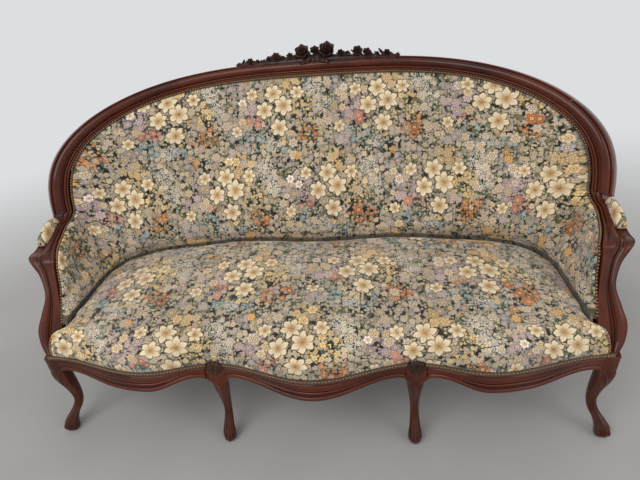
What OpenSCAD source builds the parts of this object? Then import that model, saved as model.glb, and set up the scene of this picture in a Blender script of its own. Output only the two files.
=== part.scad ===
// Cabriole sofa: a moulded show-wood frame that runs in one line from arm to arm,
// cabriole legs under a bowed and scalloped front rail, and a sprung, tight seat.
// Millimetres, +Z up. The front faces -Y. The origin is on the floor under the middle.

/* [Overall] */
// Width over the two arm knuckles
overall_w = 1760; // [1700:10:1820]
// Depth from the seat's front swell to the back of the top rail
overall_d = 850; // [820:5:880]
// Height of the top rail's outer edge at its middle
back_h = 1011; // [980:1:1040]
// Height at which the arch of the back springs from the arms
arm_h = 620; // [600:1:640]
// How far the joint of a corner leg and its arm stump lies below the seat frame's top
collar_fall = 22; // [18:1:26]

/* [Show-wood moulding] */
// Width of the moulding, from the braid to its outer edge
rail_w = 43; // [38:0.5:48]
// Thickness of the show-wood rails behind their front face
rail_d = 36; // [32:0.5:40]
// How far the widest point of the shoulders stands out past the knuckles, each side
shoulder_out = 8; // [2:1:16]
// How far the back wraps forward at the shoulders, as a share of the depth
back_wrap_share = 0.334; // [0.31:0.002:0.35]
// Reach of the knuckle outward from the leg's centre
knuckle_reach = 70; // [62:1:78]

/* [Front rail] */
// Depth of the middle bow, from its front to the recess at the inner legs
centre_bow = 67; // [55:1:75]
// Depth of each outer bow
outer_bow = 37; // [28:1:44]
// How far the corners stand back from the front of the middle bow
corner_set = 99; // [90:1:106]
// Depth of the middle bow's lowest edge below the seat frame's top
mid_fall = 84; // [78:1:90]
// Depth of the outer bows' lowest edge below the seat frame's top
side_fall = 82; // [76:1:88]
// Depth of the arches beside the inner legs below the seat frame's top
arch_fall = 56; // [52:1:60]
// Thickness of the front rail
apron_t = 32; // [28:1:36]

/* [Seat frame] */
// Height of the seat frame's top
frame_h = 322; // [318:1:326]
// Height of the side and rear rails, down to the flat underside
rail_h = 60; // [56:1:64]
// Thickness of the side and rear rails
rail_t = 28; // [24:1:30]
// Distance from the middle of the sofa to each inner leg
inner_leg_x = 286; // [270:2:300]
// Width of a corner leg's square top
corner_post = 48; // [44:1:52]
// Width of an inner leg's top across the front
inner_post_w = 60; // [54:1:66]
// Depth of an inner leg's top
inner_post_d = 44; // [40:1:48]
// Side of the rear corner legs
rear_post = 44; // [38:1:48]
// Width of the inner rear legs
back_post_w = 40; // [34:1:46]
// Depth of the inner rear legs
back_post_d = 30; // [26:1:34]

/* [Legs] */
// Width of a front foot
foot_w = 42; // [36:1:46]
// Width at the ankle
ankle_w = 26; // [24:1:32]
// Width at the knee
knee_w = 50; // [46:1:56]
// How far a front foot steps out past its ankle
toe_kick = 54; // [40:1:60]
// How far an inner front foot steps forward past its ankle
inner_kick = 38; // [25:1:50]
// How far a rear foot steps back from its rail
rear_kick = 125; // [80:5:150]

/* [Seat and back upholstery] */
// Rise of the seat's front edge above the seat frame, before its crown
seat_fill = 66; // [58:1:74]
// Rise of the seat's crown above its front edge
seat_crown = 72; // [50:1:90]
// How far the seat swells in front of the front rail
seat_swell = 14; // [8:1:18]
// How far the crevice of seat and back lies in front of the back of the top rail
crevice_set = 275; // [256:1:294]
// Gap between the crevice and the outside of the seat frame at the sides
side_fill = 75; // [68:1:82]
// Swell of the lower back in front of the line from crevice to braid
back_swell = 36; // [20:1:44]
// Width of the braid
braid_w = 11; // [9:0.5:13]
// Height of an arm pad above its rail
pad_h = 24; // [16:1:30]

/* [Crest] */
// Radius of the two large roses
rose_r = 25; // [20:1:28]
// Half length of the carving
crest_half = 275; // [240:5:300]
// Height of the leafy ground between the flowers
crest_ground = 13; // [9:1:16]

/* [Springs and webbing] */
// Width of a webbing strip
web_w = 50; // [40:1:52]
// Radius of a seat spring
spring_r = 36; // [28:1:40]
// Thickness of the spring wire
spring_wire = 4; // [3:0.5:5]
// Rise of the spring canvas above the seat frame
canvas_rise = 46; // [36:1:52]

/* [Hidden] */
// Clearance between soft and hard pieces, and a thinner one in the joints
gap = 0.4;
fit = 0.15;
// Overrun of cuts past a face
over = 1;
// Thickness of webbing, canvas, covers and braid
web_t = 0.8;
cloth_t = 1.6;
cover_t = 3.2;
braid_t = 2;
// Room for the chords of a coarser curve beside a finer one
slack = 1.8;

// Heights that follow the seat frame's top
web_h = frame_h - rail_h;
collar_h = frame_h - collar_fall;
low_mid_h = frame_h - mid_fall;
low_side_h = frame_h - side_fall;
arch_top_h = frame_h - arch_fall;
seat_edge_h = frame_h + seat_fill;

half_w = overall_w / 2;
corner_x = half_w - knuckle_reach;
shoulder_x = half_w + shoulder_out;
front_y = -overall_d / 2 + seat_swell;
seat_depth = overall_d / 2 - crevice_set - front_y;
back_wrap = overall_d * back_wrap_share;
recess_y = front_y + centre_bow;
corner_y = front_y + corner_set;
post_in = corner_x - corner_post / 2;
outer_bow_share = 0.37;
outer_bow_x = inner_leg_x + (corner_x - inner_leg_x) * outer_bow_share;

// Rebate along the top of the front rail, and the lip that hangs in front of the webbing
rebate_d = 12;
rebate_fall = 10;
rebate_h = frame_h - rebate_fall;
braid_h = 15;
lip_t = 14;
// Mouldings of the front rail: how far face, raised line and bead stand out, and their heights
face_out = 1;
line_rise = 3;
bead_out = 5;
line_h = 5;
bead_h = 13;
lip_step = 2;

// Back: lean of its plane, and how sharply it wraps
back_lean_share = 0.18;
wrap_power_share = 3;
arch_power_share = 2.9;
back_front_y = overall_d / 2 - rail_d - over;

// Plan of the seat frame: a rounded D, straight at the front of the sides
side_set = 2;
rear_set = 185;
crevice_run = seat_depth * 0.535;
frame_x = corner_x + corner_post / 2 - side_set;
plan_y = front_y + seat_depth - crevice_run;
frame_run = overall_d / 2 - rear_set - plan_y;
plan_power_share = 5;
side_end_share = 2.14;
side_run = (plan_y - corner_y - corner_post) / (side_end_share - 1);

// Plan of the crevice between seat and back
crevice_x = frame_x - side_fill;

// Heights of braid and canvas
braid_z = rebate_h - braid_h;
canvas_z0 = frame_h + gap;
rim_z = canvas_z0 + cloth_t + gap;

// Stump: where its foot stands on the leg, and the run up to the shoulder
stump_d = 30;
stump_set = 20;
stump_y = corner_y + stump_set;
stump_lean_share = 0.545;

// Small helpers
function mix(a, b, t) = a + (b - a) * t;
function unit(v) = v / norm(v);
function flip(p) = [-p[0], p[1], p[2]];
function ease(t) = (1 - cos(180 * min(1, max(0, t)))) / 2;

// A smooth curve through the rows of a table; t counts rows
function along(rows, t) =
    let (last = len(rows) - 1,
         i = min(last - 1, max(0, floor(t))),
         f = t - i,
         a = rows[max(0, i - 1)],
         b = rows[i],
         c = rows[i + 1],
         d = rows[min(last, i + 2)])
    b + (c - a) * f / 2 + (2 * a - 5 * b + 4 * c - d) * f * f / 2
      + (3 * b - a - 3 * c + d) * f * f * f / 2;

// A wave through [place, value] knots, level at each knot
function waved(knots, x, i = 0) =
    i == len(knots) - 2 || x <= knots[i + 1][0]
    ? mix(knots[i][1], knots[i + 1][1], ease((x - knots[i][0]) / (knots[i + 1][0] - knots[i][0])))
    : waved(knots, x, i + 1);

// A closed solid through rings that run anticlockwise about its direction.
// Before the ring numbered turn the faces are split the other way, for a mirrored half.
module loft(rings, turn = 0) {
    n = len(rings[0]);
    last = (len(rings) - 1) * n;
    points = [for (ring = rings) each ring];
    sides = [for (i = [0 : len(rings) - 2], j = [0 : n - 1])
        let (a = i * n + j, b = i * n + (j + 1) % n)
        each (i < turn ? [[a, a + n, b], [b, a + n, b + n]] : [[a, a + n, b + n], [a, b + n, b]])];
    caps = [[for (j = [0 : n - 1]) j], [for (j = [n - 1 : -1 : 0]) last + j]];
    polyhedron(points, concat(sides, caps));
}

// The same through rings from the middle to the right, and on to their mirror images
module loft_both(rings) {
    others = [for (i = [len(rings) - 1 : -1 : 1]) [for (p = rings[i]) flip(p)]];
    loft(concat(others, rings), len(rings) - 1);
}

module on_side(side) {
    mirror([side < 0 ? 1 : 0, 0, 0]) children();
}

// Front rail: its bowed plan and its scalloped lower edge

front_knots = [[0, front_y], [inner_leg_x, recess_y], [outer_bow_x, recess_y - outer_bow],
    [corner_x, corner_y]];
function front_at(x) = waved(front_knots, abs(x));

arch_w = 38;
arch_drop = 12;
arch_in = inner_leg_x - inner_post_w / 2 - arch_w;
arch_out = inner_leg_x + inner_post_w / 2 + arch_w;
arch_end = post_in - arch_w;
low_knots = [[0, low_mid_h], [arch_in, arch_top_h], [arch_out, arch_top_h],
    [outer_bow_x, low_side_h], [mix(outer_bow_x, arch_end, 0.4), low_side_h],
    [arch_end, arch_top_h - 2 * lip_step]];

// How far along the drop from an arch down to a leg a place lies, from 0 to 1
function drop_share(x) = min(1, max(0, x < inner_leg_x ? (x - arch_in) / arch_w
    : x < outer_bow_x ? (arch_out - x) / arch_w : (x - arch_end) / arch_w));
function low_at(x) = waved(low_knots, abs(x))
    - arch_drop * (1 - sqrt(1 - pow(drop_share(abs(x)), 2)));

function apron_ring(x) =
    let (y = front_at(x),
         z = low_at(x),
         top = braid_z - line_rise,
         low = min(1, max(0, (arch_top_h - z) / (arch_top_h - low_mid_h))) * (1 - drop_share(abs(x))),
         mid = mix(z, top, 0.5),
         under = max(web_h, z + lip_step),
         edge = face_out + face_out * low)
    [for (p = [[-face_out, z], [lip_t, z], [lip_t, under], [apron_t, under], [apron_t, frame_h],
               [rebate_d, frame_h], [rebate_d, rebate_h], [0, rebate_h], [0, top],
               [-edge, mid + line_h], [-face_out - line_rise * low, mid], [-edge, mid - line_h],
               [-face_out, z + bead_h], [-bead_out, z + bead_h * 0.6], [-bead_out, z + bead_h * 0.2]])
        [x, y + p[0], p[1]]];

tenon_l = 18;
tenon_t = 12;
tenon_h = 26;
tenon_z = arch_top_h + 3 * lip_step;

// A tenon across the joint at x, in line with the front rail or the rear rail
module tenon(x, y, room = 0) {
    translate([x, y, tenon_z + tenon_h / 2])
        cube([2 * tenon_l + 2 * room, tenon_t + 2 * room, tenon_h + 2 * room], center = true);
}

module apron(from, to, steps) {
    difference() {
        loft([for (i = [0 : steps]) apron_ring(mix(from, to, i / steps))]);
        for (side = [-1, 1]) on_side(side) {
            tenon(post_in, front_at(post_in) + apron_t * 0.6, fit);
            for (x = [-inner_post_w / 2, inner_post_w / 2])
                tenon(inner_leg_x + x, recess_y + apron_t * 0.6, fit);
        }
    }
}

module centre_apron() {
    half = inner_leg_x - inner_post_w / 2;
    color("saddlebrown") apron(-half, half, 24);
}

module side_apron(side) {
    color("saddlebrown") on_side(side)
        apron(inner_leg_x + inner_post_w / 2, post_in, 20);
}

// Legs

// Points round a ring: a circle drawn towards a square or towards a diamond
ring_n = 16;
// How square the tops of the front legs are
square_share = 0.96;
function leg_ring(cx, cy, z, hx, hy, square, diamond, nose = 0) =
    [for (i = [0 : ring_n - 1])
        let (a = 360 * i / ring_n,
             c = cos(a),
             s = sin(a),
             soft = c > 0 && s < 0 ? square * (1 - nose) : square,
             q = mix(mix(1, 1 / max(abs(c), abs(s)), soft), 1 / (abs(c) + abs(s)), diamond))
        [cx + hx * c * q, cy + hy * s * q, z]];

// Cabriole line: height share, step out (share of the kick), and shares of foot, ankle and knee
cabriole_share = [[0, 1, 0.36, 0, 0], [0.015, 1, 0.46, 0, 0], [0.055, 1, 0.5, 0, 0],
    [0.115, 0.93, 0.47, 0, 0], [0.21, 0.65, 0.27, 0.16, 0], [0.32, 0.3, 0.04, 0.46, 0],
    [0.42, 0.14, 0, 0.5, 0], [0.54, 0.14, 0, 0.46, 0.06], [0.66, 0.22, 0, 0.2, 0.26],
    [0.78, 0.34, 0, 0.04, 0.42], [0.89, 0.42, 0, 0, 0.49]];

leg_steps = 15;
function cabriole_rings(cx, cy, dir, kick, square, diamond) =
    [for (i = [0 : leg_steps])
        let (r = along(cabriole_share, i * (len(cabriole_share) - 1) / leg_steps),
             half = r[2] * foot_w + r[3] * ankle_w + r[4] * knee_w,
             out = (r[1] - 0.42) * kick)
        leg_ring(cx + dir[0] * out, cy + dir[1] * out, r[0] * (web_h - arch_drop), half, half,
                 square, diamond)];

corner_leg_y = corner_y + corner_post / 2;
ledge_in = 6;
ledge_room = 9;

module corner_leg(side) {
    turned = [sqrt(0.5), -sqrt(0.5)];
    half = corner_post / 2;
    color("sienna") on_side(side) difference() {
        union() {
            loft(concat(cabriole_rings(corner_x, corner_leg_y, turned, toe_kick, 0.4, 0),
                [for (z = [web_h - arch_drop, collar_h])
                    leg_ring(corner_x, corner_leg_y, z, half, half, square_share, 0, 0.6)]));
            translate([post_in + gap, corner_y + gap, collar_h - ledge_in])
                cube([corner_post * 0.6, stump_set - ledge_room, rebate_h - collar_h + ledge_in]);
        }
        tenon(post_in, front_at(post_in) + apron_t * 0.6, fit);
        joint_pins(foot_share, fit);
    }
}

inner_leg_y = recess_y + inner_post_d / 2;

module inner_leg(side) {
    hx = inner_post_w / 2;
    hy = inner_post_d / 2;
    color("sienna") on_side(side) difference() {
        loft(concat(cabriole_rings(inner_leg_x, inner_leg_y, [0, -1], inner_kick, 0, 0.3),
            [leg_ring(inner_leg_x, inner_leg_y, web_h - arch_drop, hx, hy, square_share, 0),
             leg_ring(inner_leg_x, inner_leg_y, frame_h, hx, hy, square_share, 0)]));
        translate([inner_leg_x - hx - over, recess_y - over, rebate_h])
            cube([inner_post_w + 2 * over, rebate_d + over, frame_h - rebate_h + over]);
        for (x = [-hx, hx])
            tenon(inner_leg_x + x, recess_y + apron_t * 0.6, fit);
    }
}

// Plan of the D shaped seat frame and of the crevice inside it.
// w runs from 0 at the back's middle to 1 where the side turns straight, then on to the front.
function plan_at(w, half, run) =
    w <= 1
    ? let (a = 90 * w, p = plan_power_share,
           r = pow(pow(sin(a) / half, p) + pow(cos(a) / run, p), -1 / p))
      [r * sin(a), plan_y + r * cos(a)]
    : [half, plan_y - (w - 1) * side_run];
function plan_normal(w, half, run) =
    let (t = plan_at(w + 0.01, half, run) - plan_at(max(0, w - 0.01), half, run))
    unit([-abs(t[1]), -max(t[0], 0)]);

// Position on the plan curves for each tenth of the way round the show-wood, as shares
round_share = [0, 0.13, 0.25, 0.36, 0.46, 0.55, 0.625, 0.695, 0.752, 0.79, 0.847, 0.882, 0.924,
    0.967, 1.1, 1.3, 1.55, 1.78, 1.98, 2.06, 2.1];
function round_at(s) = along(round_share, s * 10);

function frame_edge(inset, steps) =
    [for (i = [0 : steps])
        let (w = side_end_share * i / steps, n = plan_normal(w, frame_x, frame_run))
        plan_at(w, frame_x, frame_run) + n * inset];

// Square outline of a rear corner leg, turned to face the corner
corner_share = 0.76;
rear_at = plan_at(corner_share, frame_x, frame_run)
    + plan_normal(corner_share, frame_x, frame_run) * rear_post / 2;
rear_turn = atan2(-plan_normal(corner_share, frame_x, frame_run)[1],
                  -plan_normal(corner_share, frame_x, frame_run)[0]);
back_at = [inner_leg_x, plan_y + frame_run - back_post_d / 2 - over];

module rear_post_area(h0, h1) {
    translate([rear_at[0], rear_at[1], h0]) rotate(rear_turn)
        translate([-rear_post / 2, -rear_post / 2, 0]) cube([rear_post, rear_post, h1 - h0]);
}

module back_post_area(h0, h1) {
    translate([back_at[0] - back_post_w / 2, back_at[1] - back_post_d / 2, h0])
        cube([back_post_w, back_post_d + 4 * over, h1 - h0]);
}

// A curved band of the frame between two heights, from one x to another or along the side
module frame_band(h0, h1, t, low, high) {
    edge = concat(frame_edge(0, 40), [for (i = [40 : -1 : 0]) frame_edge(t, 40)[i]]);
    translate([0, 0, h0]) linear_extrude(h1 - h0) intersection() {
        polygon(edge);
        polygon([low, [high[0], low[1]], high, [low[0], high[1]]]);
    }
}

stump_room = 24;
module side_rail(side) {
    front = corner_leg_y + corner_post / 2;
    step_h = collar_h - side_set;
    color("burlywood") on_side(side) difference() {
        union() {
            frame_band(web_h, step_h, rail_t, [rear_at[0], front], [frame_x + over, rear_at[1]]);
            frame_band(step_h, frame_h, rail_t, [rear_at[0], front + stump_room],
                [frame_x + over, rear_at[1]]);
        }
        rear_post_area(web_h - over, frame_h + over);
        screw_holes();
    }
}

module rear_rail(side) {
    color("burlywood") on_side(side) difference() {
        frame_band(web_h, frame_h, rail_t, [back_at[0], rear_at[1]], [rear_at[0], plan_y + frame_run + over]);
        rear_post_area(web_h - over, frame_h + over);
        back_post_area(web_h - over, frame_h + over);
        screw_holes();
    }
}

module centre_rear_rail() {
    color("burlywood") difference() {
        union() {
            for (side = [-1, 1]) on_side(side)
                frame_band(web_h, frame_h, rail_t, [0, rear_at[1]], [back_at[0], plan_y + frame_run + over]);
        }
        for (side = [-1, 1]) on_side(side) back_post_area(web_h - over, frame_h + over);
    }
}

tack_t = 20;
tack_low = 24;
tack_h = 34;
module tacking_rails() {
    low = frame_h + tack_low;
    high = low + tack_h;
    back = plan_y + frame_run + over;
    color("burlywood") for (side = [-1, 1]) on_side(side) difference() {
        union() {
            frame_band(low, high, tack_t, [0, rear_at[1]], [rear_at[0], back]);
        }
        rear_post_area(low - over, high + over);
        back_post_area(low - over, high + over);
    }
}

// The show-wood line. s runs from 0 at the middle of the top rail to 1 at the shoulder's foot,
// through the arm and its knuckle, to 2 at the foot of the stump on the corner leg.

function arch_at(s, inset) =
    let (a = 90 * s, p = arch_power_share, w = shoulder_x - inset, h = back_h - arm_h - inset,
         r = pow(pow(abs(sin(a)) / w, p) + pow(abs(cos(a)) / h, p), -1 / p),
         x = r * sin(a),
         z = arm_h + r * cos(a))
    [x, back_front_y + back_lean_share * (z - back_h)
        - back_wrap * pow(x / shoulder_x, wrap_power_share), z];

// Arm and stump: shares of the knuckle's reach, of the run back and of the rise to the arm
inner_share = [[0.53, 0.915, 0.919], [0.38, 0.748, 0.875], [0.13, 0.58, 0.85],
    [-0.16, 0.435, 0.8125], [-0.19, 0.38, 0.72], [-0.34, 0.277, 0.525], [-0.42, 0.19, 0.35],
    [-0.42, 0.12, 0.2], [-0.35, 0.05, 0.08], [-0.3, 0, 0]];
outer_share = [[1.14, 0.915, 0.94], [1.1, 0.748, 0.9], [1.06, 0.58, 0.862],
    [1, 0.429, 0.82], [0.485, 0.35, 0.67], [0.24, 0.26, 0.506], [0.44, 0.18, 0.35],
    [0.63, 0.11, 0.2125], [0.53, 0.046, 0.08], [0.29, 0, 0]];
arm_run = arch_at(1, 0)[1] - stump_y;
function arm_place(r) = [corner_x + r[0] * knuckle_reach, stump_y + r[1] * arm_run,
    collar_h + r[2] * (arm_h - collar_h)];
inner_rows = concat([arch_at(0.9, rail_w), arch_at(1, rail_w)], [for (r = inner_share) arm_place(r)]);
outer_rows = concat([arch_at(0.9, 0), arch_at(1, 0)], [for (r = outer_share) arm_place(r)]);
function inner_at(s) = s <= 1 ? arch_at(s, rail_w) : along(inner_rows, 1 + (s - 1) * 10);
function outer_at(s) = s <= 1 ? arch_at(s, 0) : along(outer_rows, 1 + (s - 1) * 10);
function middle_at(s) = (inner_at(s) + outer_at(s)) / 2;

// Frame of the moulding at s: [inner edge, outward across it, forward out of it, width]
function frame_at(s) =
    let (i = inner_at(s),
         o = outer_at(s),
         t = unit(middle_at(min(2, s + 0.02)) - middle_at(max(0, s - 0.02))),
         seat = ease((s - 1.86) / 0.14),
         u = unit(mix(unit(o - i), [1, 0, 0], seat)),
         n = unit(mix(unit(cross(s < 0.02 ? [1, 0, 0] : t, u)), [0, -1, 0], seat)))
    [i, u, n, norm(o - i)];
function in_frame(f, a, b) = f[0] + a * f[1] + b * f[2];

// Places along the line
function stations(s0, s1) = [for (i = [0 : round((s1 - s0) / step_share)]) s0 + i * step_share];

// Sections of the moulding: share of the width, share of the thickness
rail_share = [[0, -1], [0.9, -1], [1, -0.72], [1, -0.1], [0.95, 0.05], [0.89, 0.02],
    [0.86, -0.05], [0.79, 0.14], [0.62, 0.26], [0.42, 0.22], [0.31, 0.08], [0.27, -0.03],
    [0.17, 0.08], [0.06, 0.04], [0, -0.06]];
arm_share = [[0, -1], [0.9, -1], [1, -0.8], [1, -0.4], [0.95, -0.24], [0.88, -0.22],
    [0.8, -0.22], [0.7, -0.22], [0.6, -0.22], [0.5, -0.2], [0.46, 0], [0.36, 0.1],
    [0.2, 0.1], [0.06, 0.04], [0, -0.06]];
stump_share = [[0, -1], [0.86, -1], [1, -0.72], [1, -0.35], [0.97, -0.08], [0.89, 0.1],
    [0.77, 0.17], [0.68, 0.13], [0.61, 0.2], [0.55, 0.08], [0.49, 0.15], [0.43, 0.03],
    [0.3, 0], [0.1, 0], [0, -0.05]];
function section_at(s, part) =
    part == "rail" ? rail_share : mix(arm_share, stump_share, ease((s - 1.34) / 0.1));
function wood_ring(s, part) =
    let (f = frame_at(s), d = mix(rail_d, stump_d, ease(s - 1)))
    [for (p = section_at(s, part)) in_frame(f, p[0] * f[3], p[1] * d)];

step_share = 0.05;
shoulder_share = 16 * step_share;
knuckle_share = 28 * step_share;
foot_share = 2;
pin_r = 4;
pin_l = 14;

// Dowels across the joint of the show-wood at s
module joint_pins(s, room = 0) {
    f = frame_at(s);
    t = unit(cross(f[1], f[2]));
    for (a = s < 1 ? [0.32, 0.66] : [0.5]) {
        c = in_frame(f, a * f[3], -0.5 * stump_d);
        multmatrix([[f[1][0], f[2][0], t[0], c[0]], [f[1][1], f[2][1], t[1], c[1]],
                    [f[1][2], f[2][2], t[2], c[2]], [0, 0, 0, 1]])
            cylinder(r = pin_r + room, h = 2 * (pin_l + room), center = true, $fn = 24);
    }
}

module rail_dowels() {
    color("tan") for (side = [-1, 1]) on_side(side) {
        for (s = [shoulder_share, 1, knuckle_share, foot_share]) joint_pins(s);
        tenon(post_in, front_at(post_in) + apron_t * 0.6);
        for (x = [-inner_post_w / 2, inner_post_w / 2])
            tenon(inner_leg_x + x, recess_y + apron_t * 0.6);
    }
}

module top_rail() {
    color("sienna") difference() {
        loft_both([for (s = stations(0, shoulder_share)) wood_ring(s, "rail")]);
        for (side = [-1, 1]) on_side(side) joint_pins(shoulder_share, fit);
    }
}

module shoulder_rail(side) {
    color("sienna") on_side(side) difference() {
        loft([for (s = stations(shoulder_share, 1)) wood_ring(s, "rail")]);
        joint_pins(shoulder_share, fit);
        joint_pins(1, fit);
    }
}

module arm_rail(side) {
    color("sienna") on_side(side) difference() {
        loft([for (s = stations(1, knuckle_share)) wood_ring(s, "arm")]);
        joint_pins(1, fit);
        joint_pins(knuckle_share, fit);
    }
}

module arm_stump(side) {
    color("sienna") on_side(side) difference() {
        loft([for (s = stations(knuckle_share, foot_share)) wood_ring(s, "arm")]);
        joint_pins(knuckle_share, fit);
        joint_pins(foot_share, fit);
    }
}

// Crest: [place along the half length, radius] of each flower, as shares
flower_share = [[-0.85, 0.34], [-0.66, 0.3], [-0.5, 0.6], [-0.33, 0.4], [-0.15, 1], [0.15, 1],
    [0.33, 0.36], [0.52, 0.6], [0.67, 0.48], [0.9, 0.36]];
crest_gap = 0.02;
function bloom(x, r) = abs(x) < r ? sqrt(1 - x * x / r / r) : 0;
function crest_size(x, k) = max([for (f = flower_share)
    let (r = f[1] * rose_r) r * bloom(x - f[0] * crest_half, r)]) * k;

function crest_ring(x) =
    let (s = crest_s(abs(x)),
         f = frame_at(s),
         taper = sqrt(max(0.06, 1 - pow(abs(x) / crest_half, 4))),
         half = max(crest_size(x, 1), rail_d * 0.3 * taper),
         top = max(crest_size(x, 2), crest_ground * taper),
         mid = -rail_d * 0.42)
    [for (p = concat([[0, mid - rail_d * 0.28 * taper]],
                     [for (a = [-75 : 25 : 75]) [top * (1 + cos(a * 1.2)) / 2, mid + half * sin(a)]],
                     [[0, mid + rail_d * 0.28 * taper]]))
        let (q = in_frame(f, f[3] + p[0] + crest_gap, p[1]))
        x < 0 ? flip(q) : q];
// The place along the arch whose outer edge lies at x
function crest_s(x, low = 0, high = 0.8, n = 16) =
    n == 0 ? (low + high) / 2
    : let (m = (low + high) / 2)
      outer_at(m)[0] < x ? crest_s(x, m, high, n - 1) : crest_s(x, low, m, n - 1);

module crest_carving() {
    color("#3a2018")
        loft([for (i = [0 : 46]) crest_ring(crest_half * (i / 23 - 1))]);
}

// Rear legs rise into uprights that seat under the show-wood

rear_share = [[0, 1, 0.36], [0.18, 0.72, 0.38], [0.4, 0.38, 0.42], [0.65, 0.12, 0.46], [0.9, 0, 0.5],
    [1, 0, 0.5]];

function box_ring(c, hx, hy, z, turn = 0) =
    [for (p = [[-1, -1], [1, -1], [1, 1], [-1, 1]])
        let (x = p[0] * hx, y = p[1] * hy)
        [c[0] + x * cos(turn) - y * sin(turn), c[1] + x * sin(turn) + y * cos(turn), z]];

// Patch under the show-wood between two places along it
function under_patch(s0, s1) =
    [for (p = [[s0, -0.42], [s1, -0.42], [s1, -0.98], [s0, -0.98]])
        in_frame(frame_at(p[0]), -gap, p[1] * rail_d)];

post_rise = 62;
module rear_leg(side) {
    h = rear_post / 2;
    out = unit([0.3, 1]);
    rise = frame_h + post_rise;
    color("peru") on_side(side)
        loft(concat(
            [for (r = rear_share)
                box_ring(rear_at + out * rear_kick * r[1], 2 * h * r[2], 2 * h * r[2], web_h * r[0],
                    rear_turn - 90)],
            [box_ring(rear_at, h, h, rise, rear_turn - 90)],
            [under_patch(15 * step_share, 16 * step_share)]));
}

module back_leg(side) {
    hx = back_post_w / 2;
    hy = back_post_d / 2;
    rise = frame_h + post_rise;
    color("peru") on_side(side)
        loft(concat(
            [for (r = rear_share)
                box_ring(back_at + [0, rear_kick * r[1]], 2 * hx * r[2], 2 * hy * r[2], web_h * r[0])],
            [box_ring(back_at, hx, hy, rise)],
            [under_patch(8 * step_share, 9 * step_share)]));
}

upright_t = 20;
upright_w = 40;
module arm_upright(side) {
    w = round_at(1.1);
    patch = [for (p = [[1.15, 0.1], [1.15, 0.55], [1.05, 0.55], [1.05, 0.1]])
        let (g = frame_at(p[0])) in_frame(g, p[1] * g[3], -rail_d - gap)];
    c = plan_at(w, frame_x, frame_run) + plan_normal(w, frame_x, frame_run) * upright_t * 0.6;
    color("burlywood") on_side(side)
        loft([box_ring(c, upright_t / 2, upright_w / 2, frame_h + gap), patch]);
}

// Cross members, blocks and their screws

brace_w = 22;
brace_h = 34;
brace_lift = 2;
module seat_braces() {
    front = inner_leg_y + inner_post_d / 2 + gap;
    back = back_at[1] - back_post_d / 2 - gap;
    color("burlywood") for (side = [-1, 1]) on_side(side)
        translate([inner_leg_x - brace_w / 2, front, web_h + brace_lift])
            cube([brace_w, back - front, brace_h]);
}

block_w = 90;
block_h = 26;
block_lift = 9;
block_z = web_h + block_lift;
front_in = 20;
rear_in = 16;
screw_r = 2.2;
screw_l = 30;

module block_area(c, turn) {
    translate([c[0], c[1], block_z]) rotate(turn)
        translate([-block_w, -block_w / 3, 0]) cube([2 * block_w, block_w, block_h]);
}

module inside_frame() {
    half = frame_edge(rail_t + gap / 2, 40);
    front = [for (i = [0 : 12])
        let (x = mix(half[40][0], 0, i / 12)) [x, front_at(x) + apron_t + slack]];
    translate([0, 0, block_z]) linear_extrude(block_h)
        polygon(concat(half, front));
}

module corner_blocks() {
    color("burlywood") for (side = [-1, 1]) on_side(side) difference() {
        intersection() {
            inside_frame();
            union() {
                block_area([corner_x - front_in, corner_leg_y + front_in], -45 + 180);
                block_area(rear_at - [rear_in, rear_in], 45 + 180);
            }
        }
        translate([post_in - gap, corner_y - over, block_z - over])
            cube([corner_post + 2 * gap, corner_post + over + gap, block_h + 2 * over]);
        translate([rear_at[0], rear_at[1], block_z - over]) rotate(rear_turn)
            translate([-rear_post / 2 - gap, -rear_post / 2 - gap, 0])
                cube([rear_post + 2 * gap, rear_post + 2 * gap, block_h + 2 * over]);
        screw_holes();
    }
}

screw_in = 20;
screw_pitch = 26;
screw_head = 3;
screw_x = frame_x - rail_t - 2 * screw_head;
screw_y = corner_leg_y + corner_post / 2 + screw_in;
screw_places = [[screw_x, screw_y + screw_pitch, 0], [screw_x, screw_y, 0]];

module screw_at(p, r) {
    translate([p[0], p[1], block_z + block_h / 2]) rotate([0, 90, p[2]]) {
        cylinder(r = r, h = screw_l, $fn = 16);
        translate([0, 0, -screw_head]) cylinder(r = r * 2, h = screw_head, $fn = 16);
    }
}

module screw_holes() {
    for (p = screw_places) screw_at(p, screw_r + fit);
}

module block_screws() {
    color("gray") for (side = [-1, 1]) on_side(side)
        for (p = screw_places) screw_at(p, screw_r);
}

// Sprung seat: webbing, springs, canvas and the stuffed, covered cushion

strip_in = 86;
strip_out = 205;
strip_room = 4;
web_x = [inner_leg_x * 0.245, inner_leg_x * 0.7, inner_leg_x + strip_in,
    (inner_leg_x + strip_in + corner_x - strip_out) / 2, corner_x - strip_out];
web_y = [for (v = [0.314, 0.535, 0.756]) front_y + v * seat_depth];

function rear_y(x) = plan_y + frame_run
    * pow(1 - pow(min(0.99, abs(x) / frame_x), plan_power_share), 1 / plan_power_share);

module seat_webbing() {
    z = web_h - gap / 2 - web_t;
    color("tan") for (side = [-1, 1]) on_side(side) {
        for (x = web_x)
            let (front = max(front_at(x - web_w / 2), front_at(x + web_w / 2)) + lip_t + strip_room,
                 back = rear_y(x + web_w / 2) - 2 * strip_room)
                translate([x - web_w / 2, front, z])
                    cube([web_w, back - front, web_t]);
        for (y = web_y)
            translate([0, y - web_w / 2, z - web_t])
                cube([plan_reach(y) - 2 * strip_room, web_w, web_t]);
    }
}
function plan_reach(y) = y + web_w / 2 <= plan_y ? frame_x
    : frame_x * pow(1 - pow((y + web_w / 2 - plan_y) / frame_run, plan_power_share), 1 / plan_power_share);

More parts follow.
